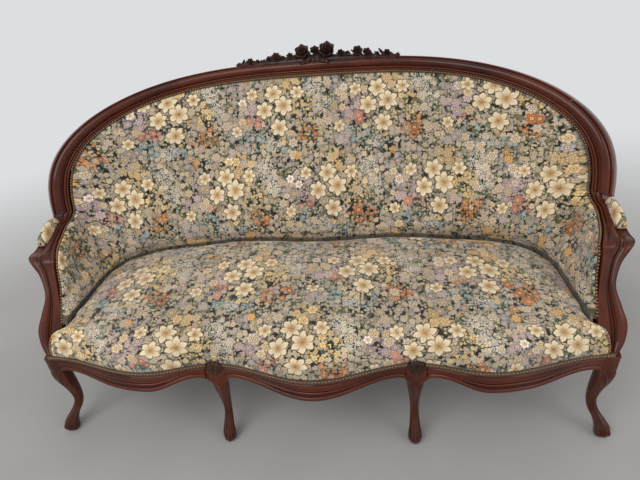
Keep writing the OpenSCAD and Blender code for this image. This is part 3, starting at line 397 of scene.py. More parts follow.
def edge_at(s, rows, inset):
    """An edge of the show wood: the arch up to s = 1, and the smooth curve of its rows after."""
    return np.where((s <= 1)[..., None], arch_at(np.minimum(s, 1), inset),
                    through(rows, 1 + np.maximum(s - 1, 0) * 10))


def frame_at(s):
    """Inner edge, outward across the moulding, forward out of it, and its width, at s. The line
    runs from 0 at the top's middle to 1 at the shoulder's foot and 2 at the stump's foot. Out of
    it is square to its course and its width, and turns level at the stump's foot."""
    s = np.asarray(s, float)
    i, o = edge_at(s, inner_rows, rail_w), edge_at(s, outer_rows, 0)
    before, after = ((edge_at(q, inner_rows, rail_w) + edge_at(q, outer_rows, 0)) / 2
                     for q in (np.maximum(0, s - 0.02), np.minimum(2, s + 0.02)))
    t = np.where((s < 0.02)[..., None], np.array([1.0, 0, 0]), unit(after - before))
    seat = ease((s - 1.86) / 0.14)[..., None]
    u = unit(mix(unit(o - i), np.array([1.0, 0, 0]), seat))
    n = unit(mix(unit(np.cross(t, u)), np.array([0, -1.0, 0]), seat))
    return i, u, n, np.linalg.norm(o - i, axis=-1)


def rounds(w, *shapes):
    """The highest of several half rounds over w: each has a middle, a half width, a height and
    a foot, and is a quarter circle's height over its half width."""
    return np.max([foot + high * np.sqrt(np.clip(1 - ((w - at) / half) ** 2, 0, 1))
                   for at, half, high, foot in shapes], axis=0)


across_w = np.concatenate([np.linspace(1, 0.84, 18), np.linspace(0.83, 0.3, 26),
                           np.linspace(0.29, 0, 20)])
top_round = rounds(across_w, (0.945, 0.052, 0.1, -0.06), (0.585, 0.285, 0.3, -0.05),
                   (0.2, 0.075, 0.13, -0.05), (0.06, 0.055, 0.1, -0.06)) - 0.05 * (across_w > 0.97)
flat_back = np.array([[0, -1], [0.3, -1], [0.6, -1], [0.88, -1], [0.96, -0.93], [1, -0.8],
                      [1, -0.5], [1, -0.25]])


def ring_of(s, front):
    """Rings of the moulding at the places s: a flat back, an eased outer corner and the front's
    heights, each a share of the thickness, set out along the moulding's own axes."""
    i, u, n, wide = frame_at(s)
    deep = mix(rail_d, stump_d, ease(s - 1))
    ws = np.concatenate([flat_back[:, 0], across_w])
    hs = np.concatenate([np.tile(flat_back[:, 1], (len(s), 1)),
                         np.broadcast_to(front, (len(s), len(across_w)))], 1)
    return (i[:, None] + (ws[None, :] * wide[:, None])[..., None] * u[:, None]
            + (hs * deep[:, None])[..., None] * n[:, None])


def flipped(rings, side):
    """The same rings on the other side of the middle, where side is -1."""
    return rings * np.array([side, 1, 1])


def mirrored(line):
    """A half line from the middle outward, with its mirror image put before it."""
    return np.concatenate([line[:0:-1] * [-1, 1, 1], line])


def polished(name, base, worn_tone, dark, bump_depth, bump_share, coat, gloss):
    """Wood under French polish: streaks and pores drawn out along the piece's own length,
    lighter on worn edges, darker in grooves where polish and dust gathered, and darker low down by
    painted shade."""
    def colour(start):
        """Streaks and fine grain, slow clouds, painted shade low down, dirt in grooves, and worn
        edges.
        """
        place, solid = start.at("UV"), start.at("Object")
        edge = start.node("ShaderNodeAttribute", out="Fac", attribute_name="worn")
        streak = place.stretched(3.2, 55, 1).noise(1.0, 5, 0.6).ramp(0.32, 0.68)
        fine = place.stretched(14, 420, 1).noise(1.0, 4, 0.6).ramp(0.25, 0.75, 0.82, 1.12)
        cloud = solid.noise(5.0, 3).ramp(0.35, 0.65)
        wood = (cloud * 0.5).pick(streak.pick(dark, base), worn_tone).shade(fine)
        # Painted shade: the wood darkens towards the floor, to 0.58 of its colour at 3 cm, fully
        # bright from 34 cm up.
        wood = wood.shade(solid.part(2).ramp(0.03, 0.34, 0.58, 1.0))
        wood = (edge.ramp(0.03, 0.22) * 0.55).pick(wood, worn_tone)
        return ((edge * -1.0).ramp(0.02, 0.16) * 0.82).pick(wood, tuple(c * 0.16 for c in dark))

    def roughness(start):
        """Polish that is thinner in places."""
        return start.at("Object").noise(26, 4).ramp(0.3, 0.75, 0.24, 0.4)

    def pores(start):
        """Relief of fine pores and of broader streaks, both drawn out along the piece."""
        place = start.at("UV")
        return (place.stretched(30, 900, 1).noise(1.0, 3) * 0.5
                + place.stretched(4, 40, 1).noise(1.0, 2))

    return finish(name, colour, roughness, pores, bump_depth, bump_share, coat, gloss=gloss)


mahogany = polished("mahogany", (0.082, 0.0135, 0.0055), (0.17, 0.036, 0.014),
                    (0.03, 0.0055, 0.003), 0.0005, 0.3, 0.5, 0.06)

half = ring_of(np.linspace(0, joint_s, 170), top_round)
top_rail = carve("moulded_top_rail", mirrored(half), mahogany)
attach(top_rail, "root")
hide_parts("top_rail")

for side, word in ((-1, "left"), (1, "right")):
    rings = ring_of(np.linspace(joint_s + saw_gap, 1, 44), top_round)
    shoulder = carve(word + "_moulded_shoulder", flipped(rings, side), mahogany)
    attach(shoulder, "root")
    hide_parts(word + "_shoulder_rail")

# ---------------------------------------------------------------- Arms and stumps
# Each arm is a length of the same moulding, rebated for its pad, that ends in a pointed knuckle;
# the S shaped stump below it carries two fine ridges down to the collar of the corner leg.

knuckle_s = 1.4


def arm_front(s):
    """Front heights along arm and stump: a rebate under the pad, that gives way to a broad round
    and two ridges as s goes from 1.32 to 1.44."""
    w = across_w
    arm = rounds(w, (0.98, 0.03, 0.04, -0.26), (0.33, 0.155, 0.16, -0.05),
                 (0.06, 0.055, 0.1, -0.06))
    arm = np.where(w > 0.49, rounds(w, (0.98, 0.03, 0.03, -0.25)), arm)
    stump = rounds(w, (0.8, 0.2, 0.34, -0.16), (0.575, 0.03, 0.14, 0.08),
                   (0.475, 0.03, 0.13, 0.06), (0.24, 0.2, 0.08, -0.04), (0.04, 0.04, 0.08, -0.05))
    return mix(arm[None, :], stump[None, :], ease((s - 1.32) / 0.12)[:, None])


for side, word in ((-1, "left"), (1, "right")):
    for name, node, start, end, steps in (
            ("_moulded_arm", "_arm_rail", 1 + saw_gap, knuckle_s, 90),
            ("_carved_stump", "_arm_stump", knuckle_s + saw_gap, 2, 130)):
        s = np.linspace(start, end, steps)
        arm = carve(word + name, flipped(ring_of(s, arm_front(s)), side), mahogany)
        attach(arm, "root")
        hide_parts(word + node)

# ---------------------------------------------------------------- Front rail
# Three mahogany aprons, bowed in plan and scalloped below, are tenoned between the legs. A round
# runs under the braid, a fine bead crosses the face and a heavier one follows the lower edge.

frame_h, corner_post, inner_leg_x = 322, 48, 286
front_y, centre_bow, outer_bow = -overall_d / 2 + 14, 67, 37
rebate_h, braid_h, web_h, apron_t, rebate_d = frame_h - 10, 15, frame_h - 60, 32, 12
inner_post_w, inner_post_d, arch_w, arch_drop = 60, 44, 38, 12
low_mid_h, low_side_h, arch_top_h, bead_w = frame_h - 84, frame_h - 82, frame_h - 56, 13
recess_y, post_in, leg_side = front_y + centre_bow, corner_x - corner_post / 2, inner_post_w / 2
outer_bow_x = mix(inner_leg_x, corner_x, 0.37)
front_knots = [[0, front_y], [inner_leg_x, recess_y], [outer_bow_x, recess_y - outer_bow],
               [corner_x, corner_y]]
arch_in, arch_out = inner_leg_x - leg_side - arch_w, inner_leg_x + leg_side + arch_w
arch_end = post_in - arch_w
low_knots = [[0, low_mid_h], [arch_in, arch_top_h], [arch_out, arch_top_h],
             [outer_bow_x, low_side_h], [mix(outer_bow_x, arch_end, 0.4), low_side_h],
             [arch_end, arch_top_h - 4]]


def waved(knots, x):
    """Half cosine waves that run level through [place, value] knots."""
    k = np.array(knots, float)
    i = np.clip(np.searchsorted(k[:, 0], x, "right") - 1, 0, len(k) - 2)
    return mix(k[i, 1], k[i + 1, 1], ease((x - k[i, 0]) / (k[i + 1, 0] - k[i, 0])))


def front_at(x):
    """How far forward the front rail lies at x: a middle bow, two recesses and two outer bows."""
    return waved(front_knots, np.abs(x))


def drop_share(x):
    """From 0 at the top of an arch to 1 where its edge has turned down into the leg, in
    proportion to the distance."""
    x = np.abs(x)
    past = np.where(x < inner_leg_x, x - arch_in,
                    np.where(x < outer_bow_x, arch_out - x, x - arch_end))
    return np.clip(past / arch_w, 0, 1)


def apron_rings(x):
    """Sections of the rail at the places x, from its lower edge round the back to the rebate and
    down the front. The lower edge z is the waved line less a quarter circle at each leg. The
    upper round, the bead line, the cove and the lower bead are sines and half circles over z."""
    drop = drop_share(x)
    z = waved(low_knots, np.abs(x)) - arch_drop * (1 - np.sqrt(1 - drop ** 2))
    top = rebate_h - braid_h - 3
    full = np.clip((arch_top_h - z) / (arch_top_h - low_mid_h), 0, 1) * (1 - drop)
    line = np.maximum(mix(z, top, 0.5), z + 18)
    under = np.maximum(web_h, z + 2)
    back = [(-1, z), (6, z - 0.6), (14, z), (14, under), (apron_t, under), (apron_t, frame_h),
            (rebate_d, frame_h), (rebate_d, rebate_h), (0, rebate_h), (0, top + 1)]
    t = np.linspace(0, 1, 13)[:, None]
    round_h, round_out = mix(top, line + 4.5, t), 1 + (0.8 + 3.0 * full) * np.sin(np.pi * t) ** 0.7
    t = np.linspace(1, -1, 12)[:, None]
    line_h, line_out = line + 4 * t, 0.6 + (0.8 + 3.2 * full) * np.sqrt(1 - t ** 2)
    t = np.linspace(0.06, 0.94, 7)[:, None]
    cove_h = mix(line - 4.2, z + bead_w + 0.2, t)
    cove_out = 0.6 - 1.6 * full * np.sin(np.pi * t)
    t = np.linspace(0, 1, 15)[:, None]
    bead_h = z + bead_w * (1 + np.cos(np.pi * t)) / 2
    bead_out = 0.8 + 4.6 * np.sin(np.pi * t) ** 0.85 + 0 * x
    out = np.concatenate([np.array([b[0] + 0 * x for b in back]), -round_out, -line_out,
                          -cove_out, -bead_out])
    high = np.concatenate([np.array([b[1] + 0 * x for b in back]), round_h, line_h, cove_h,
                           bead_h])
    return np.stack([np.broadcast_to(x, out.shape), front_at(x) + out, high],
                    2).transpose(1, 0, 2)


for name, start, end, steps in (
        ("centre_apron", -inner_leg_x + leg_side, inner_leg_x - leg_side, 220),
        ("left_apron", -post_in, -inner_leg_x - leg_side, 200),
        ("right_apron", inner_leg_x + leg_side, post_in, 200)):
    rings = apron_rings(np.linspace(start, end, steps))
    apron = carve("scalloped_" + name, rings, mahogany, smooth=38)
    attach(apron, "root")
    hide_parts(name)

# ---------------------------------------------------------------- Front legs
# Four cabriole legs, sawn and carved from the solid. Two fine ridges run from the arches of the
# rail down each leg to its lobed pad foot, and a small fan of leaf is carved on the inner pair.

# Rows: share of the height, how far out, and shares of the knee's, ankle's and foot's width
cabriole = np.array([[0, 0.93, 0.33, 0, 0], [0.022, 0.98, 0.43, 0, 0], [0.07, 1.01, 0.49, 0, 0],
                     [0.135, 0.94, 0.48, 0, 0], [0.225, 0.66, 0.3, 0.13, 0],
                     [0.32, 0.3, 0.04, 0.46, 0], [0.42, 0.14, 0, 0.5, 0],
                     [0.54, 0.14, 0, 0.46, 0.06], [0.66, 0.22, 0, 0.2, 0.26],
                     [0.78, 0.34, 0, 0.04, 0.42], [0.89, 0.42, 0, 0, 0.49]])
foot_w, ankle_w, knee_w = 42, 26, 50
corner_band = [[0, 12], [30, 11], [70, 7], [110, 7], [150, 8], [200, 13], [235, 26], [262, 38]]
inner_band = [[0, 12], [30, 11], [70, 7], [110, 7], [150, 9], [200, 14], [235, 22], [262, 30]]


def leg_rings(cx, cy, toward, kick, half_x, half_y, square, diamond, nose, top_h, band):
    """Rings up a leg: circles drawn towards a square or a diamond, on a line that steps out to
    the foot by kick. Two ridges lie at the band's half width on either side of the front, with a
    hollow between them, and the toes are a ridge with a dip at each side, all of them bells."""
    row = through(cabriole, np.linspace(0, 10, 120))
    half = row[:, 2] * foot_w + row[:, 3] * ankle_w + row[:, 4] * knee_w
    knee_h = web_h - arch_drop
    z = row[:, 0] * knee_h
    neck = np.linspace(0, 1, 12)[1:]
    z = np.concatenate([z, mix(z[-1], knee_h, neck), np.linspace(knee_h, top_h, 40)[1:]])
    rise = np.concatenate([np.zeros(120), ease(neck), np.ones(39)])
    hx, hy = (np.concatenate([half, mix(half[-1], post, ease(neck)), np.full(39, post)])
              for post in (half_x, half_y))
    out = np.concatenate([(row[:, 1] - row[-1, 1]) * kick, np.zeros(50)])
    soften = bell(z[:, None] - z[None, :], 7.0) * np.gradient(z)[None, :]
    soften /= soften.sum(1, keepdims=True)
    hx, hy, out = (mix(q, soften @ q, ease((z - 60) / 30)) for q in (hx, hy, out))
    a = np.linspace(0, 2 * np.pi, 129)[:-1][None, :]
    c, s = np.cos(a), np.sin(a)
    sharp = mix(square, 0.96, rise)[:, None]
    sharp = np.where((c > 0) & (s < 0), sharp * (1 - nose * rise[:, None]), sharp)
    q = mix(mix(1, 1 / np.maximum(np.abs(c), np.abs(s)), sharp), 1 / (np.abs(c) + np.abs(s)),
            (diamond * (1 - rise))[:, None])
    facing = np.arctan2(toward[1], toward[0])
    along = np.abs((a - facing + np.pi) % (2 * np.pi) - np.pi) * ((hx + hy) / 2)[:, None]
    wide = np.interp(z, *np.array(band, float).T)[:, None]
    lift = 1.9 * bell(along - wide, 1.5)
    lift -= np.clip(1 - along / wide, 0, 1) ** 0.5 * (z > 30)[:, None]
    toes = ease((34 - z) / 24)[:, None]
    lift += toes * (1.6 * bell(along, 2.6) - 1.4 * bell(along - 8, 3.0))
    lift *= (ease(z / 7) * ease((web_h + 2 - z) / 16))[:, None]
    x = cx + (toward[0] * out)[:, None] + (hx[:, None] * q + lift) * c
    y = cy + (toward[1] * out)[:, None] + (hy[:, None] * q + lift) * s
    return np.stack([x, y, np.broadcast_to(z[:, None], x.shape)], 2)


def fan_of_leaf(rings, cx, cy, half_y):
    """Carves a fan of seven lobes into the flat front of a leg's top: its relief is the cosine of
    the angle about a point low on the leg, within a scalloped rim, and a half ball is its heart."""
    rings = rings.copy()
    heart_h, rim, heart_r = 259, 40, 7
    x, z = rings[..., 0] - cx, rings[..., 2] - heart_h
    far, angle = np.hypot(x, z), np.arctan2(x, z)
    lobe = np.abs(np.cos(3.5 * angle))
    relief = (0.4 + 2.7 * lobe ** 0.7) * ease((rim + 7 * lobe - far) / 5) * ease(far / 9)
    relief *= ease((1.45 - np.abs(angle)) / 0.2)
    heart = 2.6 * np.sqrt(np.clip(1 - (far / heart_r) ** 2, 0, 1))
    face = ease(((cy - rings[..., 1]) / half_y - 0.86) / 0.1) * ease((28.5 - np.abs(x)) / 4)
    face *= (z > -8) * ease((rebate_h - 1 - rings[..., 2]) / 4)
    rings[..., 1] -= (relief + heart) * face
    rings[..., 1] = np.where(rings[..., 2] > rebate_h,
                             np.maximum(rings[..., 1], recess_y + rebate_d), rings[..., 1])
    return rings


# The corner leg ends in a collar with a lip on its two outer sides
corner_y_mid, half_post = corner_y + corner_post / 2, corner_post / 2
corner = leg_rings(corner_x, corner_y_mid, (0.5 ** 0.5, -0.5 ** 0.5), 54, half_post, half_post,
                   0.4, 0, 0.6, collar_h, corner_band)
lip = (2.6 * bell(corner[..., 2:] - collar_h + 5, 3.2) + 1.2 * bell(corner[..., 2:] - 285, 2.2))
away = corner - np.array([corner_x, corner_y_mid, 0])
away[..., 2] = 0
shown = np.maximum(ease((-away[..., 1:2] / half_post - 0.5) / 0.3),
                   ease((away[..., :1] / half_post - 0.5) / 0.3))
corner = corner + unit(away + 1e-9) * lip * shown
inner = leg_rings(inner_leg_x, recess_y + inner_post_d / 2, (0, -1), 38, leg_side,
                  inner_post_d / 2, 0, 0.3, 0, frame_h, inner_band)
inner = fan_of_leaf(inner, inner_leg_x, recess_y + inner_post_d / 2, inner_post_d / 2)
# The little ledge at the stump's foot that carries the end of the braid: rounded squares
t = np.linspace(0, 2 * np.pi, 33)[:-1]
bend = (np.abs(np.cos(t)) ** 6 + np.abs(np.sin(t)) ** 6) ** (-1 / 6)
ledge = np.stack([np.stack([800.8 + (14.4 - less) * bend * np.cos(t),
                            corner_y + 5.9 + (5.5 - less) * bend * np.sin(t), 0 * t + z], 1)
                  for z, less in ((294, 0), (303, 0), (309, 0), (311.2, 0.3), (312, 1.2))])
for side, word in ((-1, "left"), (1, "right")):
    for rings, name in ((corner, "corner_leg"), (inner, "inner_leg")):
        leg = carve(word + "_carved_" + name, flipped(rings, side), mahogany,
                    np.broadcast_to(rings[:, :1, 2] * mm, (len(rings), 129)))
        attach(leg, "root")
        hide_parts(word + "_" + name)
    rest = carve(word + "_braid_ledge", flipped(ledge, side), mahogany)
    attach(rest, "root")

# ---------------------------------------------------------------- Seat frame and back legs
# Beech rails, blocks, braces and tacking rails, sawn square and left plain, carry the upholstery.
# The four back legs are beech too, splayed to the back and stained to match the mahogany.

seat_depth = overall_d / 2 - 275 - front_y
crevice_run = seat_depth * 0.535
plan_y = front_y + seat_depth - crevice_run
frame_run, frame_x = overall_d / 2 - 185 - plan_y, corner_x + corner_post / 2 - 2
crevice_x = frame_x - 75
side_run = (plan_y - corner_y - corner_post) / 1.14


def plan_at(w, half, run):
    """The D of the seat in plan: a superellipse of power 5 from w = 0 at the back's middle to 1,
    and then straight forward along the side."""
    a = np.pi / 2 * np.minimum(w, 1)
    r = (np.abs(np.sin(a) / half) ** 5 + np.abs(np.cos(a) / run) ** 5) ** -0.2
    straight = np.maximum(w - 1, 0) * side_run
    return np.stack([r * np.sin(a), plan_y + r * np.cos(a) - straight], -1)


def plan_normal(w, half, run):
    """The plan curve's normal, level and inward, from the slope between two near places."""
    t = plan_at(w + 0.01, half, run) - plan_at(np.maximum(0, w - 0.01), half, run)
    return unit(np.stack([-np.abs(t[..., 1]), -np.maximum(t[..., 0], 0), 0 * t[..., 0]], -1))


# Rows: share of the height up to the rail, of the splay, and of the post's width
splay = np.array([[0, 1, 0.36], [0.18, 0.72, 0.38], [0.4, 0.38, 0.42], [0.65, 0.12, 0.46],
                  [0.9, 0, 0.5], [1, 0, 0.5]])
splay_out = 125
t = np.linspace(0, 2 * np.pi, 49)[:-1]
c, s = np.cos(t), np.sin(t)
rounded = np.stack([c, s], 1) * ((np.abs(c) ** 9 + np.abs(s) ** 9) ** (-1 / 9))[:, None]


def back_post(at, hx, hy, turn, out, s0, s1):
    """A splayed leg that rises into an upright: rounded squares on a curved line, then straight
    up, and last a square that lies under the show wood between s0 and s1."""
    row = through(splay, np.linspace(0, 5, 60))[:, :, None]
    c, s = np.cos(turn), np.sin(turn)
    x, y = rounded[:, 0] * hx, rounded[:, 1] * hy
    local = np.stack([x * c - y * s, x * s + y * c], 1)
    low = np.concatenate([at + np.array(out) * splay_out * row[:, 1:2] + local * 2 * row[:, 2:3],
                          np.broadcast_to(row[:, :1] * web_h, (60, 48, 1))], 2)
    up = np.linspace(web_h + 6, frame_h + 62, 8)[:, None, None]
    high = np.concatenate([np.broadcast_to(at + local, (8, 48, 2)),
                           np.broadcast_to(up, (8, 48, 1))], 2)
    i, u, n, _ = frame_at(np.array([s0, s1, s1, s0]))
    corners = i - 0.4 * u + np.array([-0.42, -0.42, -0.98, -0.98])[:, None] * rail_d * n
    a, b = (rounded[:, :1] + 1) / 2, (rounded[:, 1:] + 1) / 2
    patch = mix(mix(corners[0], corners[1], a), mix(corners[3], corners[2], a), b)
    return np.concatenate([low, high, patch[None]])


rear_n = plan_normal(np.array(0.76), frame_x, frame_run)[:2]
rear_at = plan_at(np.array(0.76), frame_x, frame_run) + rear_n * 22
rear_turn = math.atan2(-rear_n[1], -rear_n[0]) - np.pi / 2
back_at = np.array([inner_leg_x, plan_y + frame_run - 16])
stained_beech = polished("stained_beech", (0.06, 0.018, 0.011), (0.11, 0.038, 0.02),
                         (0.03, 0.01, 0.007), 0.0008, 0.4, 0.1, 0.1)
rear_leg = back_post(rear_at, 22, 22, rear_turn, unit(np.array([0.3, 1])), 0.75, 0.8)
back_leg = back_post(back_at, 20, 15, 0, (0, 1), 0.4, 0.45)
for side, word in ((-1, "left"), (1, "right")):
    for name, rings in (("rear_leg", rear_leg), ("back_leg", back_leg)):
        leg = carve(word + "_splayed_" + name, flipped(rings, side), stained_beech,
                    np.broadcast_to(rings[:, :1, 2] * mm, (len(rings), 49)))
        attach(leg, "root")
        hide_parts(word + "_" + name)


def beech_look(start):
    """Pale beech: rings of growth cut lengthwise, fine dark flecks, a little dust in patches."""
    place = start.at("Object")
    rings = place.stretched(1.6, 22, 30).noise(1.0, 4, 0.6).ramp(0.3, 0.7)
    fleck = place.stretched(60, 420, 420).noise(1.0, 2).ramp(0.62, 0.7)
    dust = place.noise(4.0, 3).ramp(0.4, 0.7)
    wood = rings.pick((0.38, 0.23, 0.12), (0.52, 0.35, 0.2))
    wood = (fleck * 0.4).pick(wood, (0.2, 0.11, 0.06))
    return (dust * 0.35).pick(wood, (0.42, 0.34, 0.26))


def cloudy(scale, detail, low, high):
    """Roughness that drifts between low and high with a noise through the solid piece."""
    return lambda start: start.at("Object").noise(scale, detail).ramp(0.3, 0.7, low, high)


def beech_grain(start):
    """Fine pores, drawn out along the length of the sofa."""
    return start.at("Object").stretched(40, 300, 300).noise(1.0, 3)


def steel_look(start):
    """Bare grey wire with a little rust where a noise is high."""
    return start.at("Object").noise(50, 4).ramp(0.5, 0.66).pick((0.32, 0.32, 0.33),
                                                               (0.16, 0.09, 0.06))


beech = finish("beech", beech_look, cloudy(30, 3, 0.55, 0.72), beech_grain, 0.0006, 0.5)
spring_steel = finish("spring_steel", steel_look, cloudy(80, 3, 0.3, 0.55), metallic=1.0)


def woven_look(colours, pitch, places="Object"):
    """Plain weave: a warp and a weft thread over and under each other, as the product of two
    sines of this pitch, both a little uneven."""
    def crossing(place):
        """The product of a sine along x and a sine along y."""
        along, over = ((place.part(i) * (math.tau / pitch)).math("SINE") for i in (0, 1))
        return along * over

    def colour(start):
        """One thread or the other by which lies on top, uneven, and faded in large patches."""
        place = start.at(places)
        uneven = place.noise(0.35 / pitch, 2).ramp(0.3, 0.7, 0.75, 1.15)
        faded = place.noise(3.0, 3).ramp(0.35, 0.7)
        thread = crossing(place).ramp(-0.6, 0.6).pick(colours[0], colours[1])
        return faded.pick(thread, colours[2]).shade(uneven)

    def relief(start):
        """The same product as height, and a noise with waves of two pitches."""
        place = start.at(places)
        return crossing(place) + place.noise(0.5 / pitch, 2) * 0.6

    return colour, 0.9, relief


jute = finish("jute", *woven_look(((0.42, 0.31, 0.18), (0.52, 0.4, 0.25), (0.46, 0.35, 0.22)),
                                  0.003), 0.0006, 0.7)
beech_parts = ("left_side_rail right_side_rail left_rear_rail centre_rear_rail right_rear_rail "
               "tacking_rails seat_braces corner_blocks rail_dowels left_arm_upright "
               "right_arm_upright")
for names, material in ((beech_parts, beech), ("block_screws seat_springs", spring_steel),
                        ("seat_webbing back_webbing spring_canvas", jute)):
    for name in names.split():
        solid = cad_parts[name]
        solid.data.materials.clear()
        solid.data.materials.append(material)

# ---------------------------------------------------------------- Seat
# One tight seat, stuffed over coil springs and covered in a woven floral tapestry that is drawn
# down over the front edge and nailed along the front rail under a braid.

seat_swell, seat_rise, seat_edge_h, rim_z = 14, 72, frame_h + 66, frame_h + 2.4
round_share = [0, 0.13, 0.25, 0.36, 0.46, 0.55, 0.625, 0.695, 0.752, 0.79, 0.847, 0.882, 0.924,
               0.967, 1.1, 1.3, 1.55, 1.78, 1.98, 2.06, 2.1]
repeat_w, repeat_h, thread_w = 0.36, 0.275, 0.0011


def seat_top(x, y):
    """Height of the seat: a sine arch from front to back, lower towards the sides by the cube of
    x, with a little more stuffing in the front corners."""
    deep = np.clip((y - front_at(x)) / seat_depth, 0, 1)
    arch = np.sin(np.radians(130 * deep)) * (1 - 0.75 * np.minimum(1, np.abs(x) / crevice_x) ** 3)
    return (seat_edge_h + seat_rise * arch
            + 9 * ease((np.abs(x) - 640) / 130) * ease((-130 - y) / 120))


def dye(*yarn):
    """A yarn's colour from its look on a screen, 0 to 255, as the light it gives back."""
    return tuple((c / 255) ** 2.2 for c in yarn)


# Blossoms in three sizes: cell in millimetres, petals, seed, how sparse, two yarns and the heart.
# Then zones of another yarn: x, y in the repeat and radius in millimetres, and the yarn.
blossom_layers = (
    (8.8, 5, 0.0, -0.26, (222, 204, 168), (172, 164, 158), (214, 176, 122), (
        (-110, 5, 66, 196, 176, 172), (-78, -48, 36, 204, 140, 124), (-90, -92, 44, 154, 176, 174),
        (4, -132, 50, 146, 166, 170), (82, 8, 62, 236, 204, 144), (0, -100, 26, 232, 202, 146),
        (98, -76, 44, 212, 146, 92), (-148, 92, 44, 172, 168, 158), (20, 100, 52, 222, 190, 136))),
    (18.5, 5, 5.3, -0.14, (224, 202, 162), (178, 166, 164), (238, 206, 150), (
        (-112, 5, 60, 196, 172, 172), (-80, -46, 34, 200, 130, 118), (-90, -90, 40, 148, 172, 172),
        (4, -132, 48, 148, 166, 174), (80, 8, 56, 238, 204, 146), (0, -98, 24, 230, 200, 148),
        (98, -76, 48, 204, 134, 88), (112, -88, 22, 186, 98, 60), (-150, 90, 44, 184, 168, 172),
        (30, 104, 46, 224, 188, 134))),
    (33, 6, 9.1, None, (232, 206, 160), (196, 178, 160), (240, 204, 142), (
        (-112, 8, 56, 190, 168, 172), (-132, 50, 30, 236, 218, 204), (-84, -46, 30, 204, 138, 122),
        (98, -74, 50, 196, 118, 72), (-150, -112, 44, 182, 170, 170), (-137, 112, 22, 226, 166, 96),
        (-6, 130, 20, 226, 166, 98), (30, 100, 40, 230, 194, 142))))
large_blossom_zones = ((-112, 8, 56), (-150, -112, 40), (-132, 50, 26), (-137, 112, 20),
                       (-6, 130, 18), (30, 100, 34))
sprig_zones = ((148, 22, 26), (124, 78, 30), (-30, -120, 22))
# The cream blooms of a cluster: x, y, radius and turn. Then their yarns, by share of the radius.
blooms = ((-17, 61, 35, 0.3), (-50, 5, 34, 1.1), (17, 18, 38, 0.0), (0, -56, 35, 0.7),
          (66, 62, 26, 0.5), (-92, 62, 24, 0.9), (-150, -62, 23, 0.2))
bloom_yarns = ((0.1, 190, 138, 84), (0.24, 226, 182, 126), (0.29, 124, 92, 60),
               (0.35, 214, 182, 136), (0.6, 230, 208, 168), (0.88, 242, 224, 190))
# Worn holes: x, y and z, and half the width and depth, in metres
holes = ((0.512, 0.1, 0.438, 0.046, 0.026), (0.554, 0.06, 0.438, 0.02, 0.013),
         (0.748, -0.134, 0.4, 0.012, 0.028))


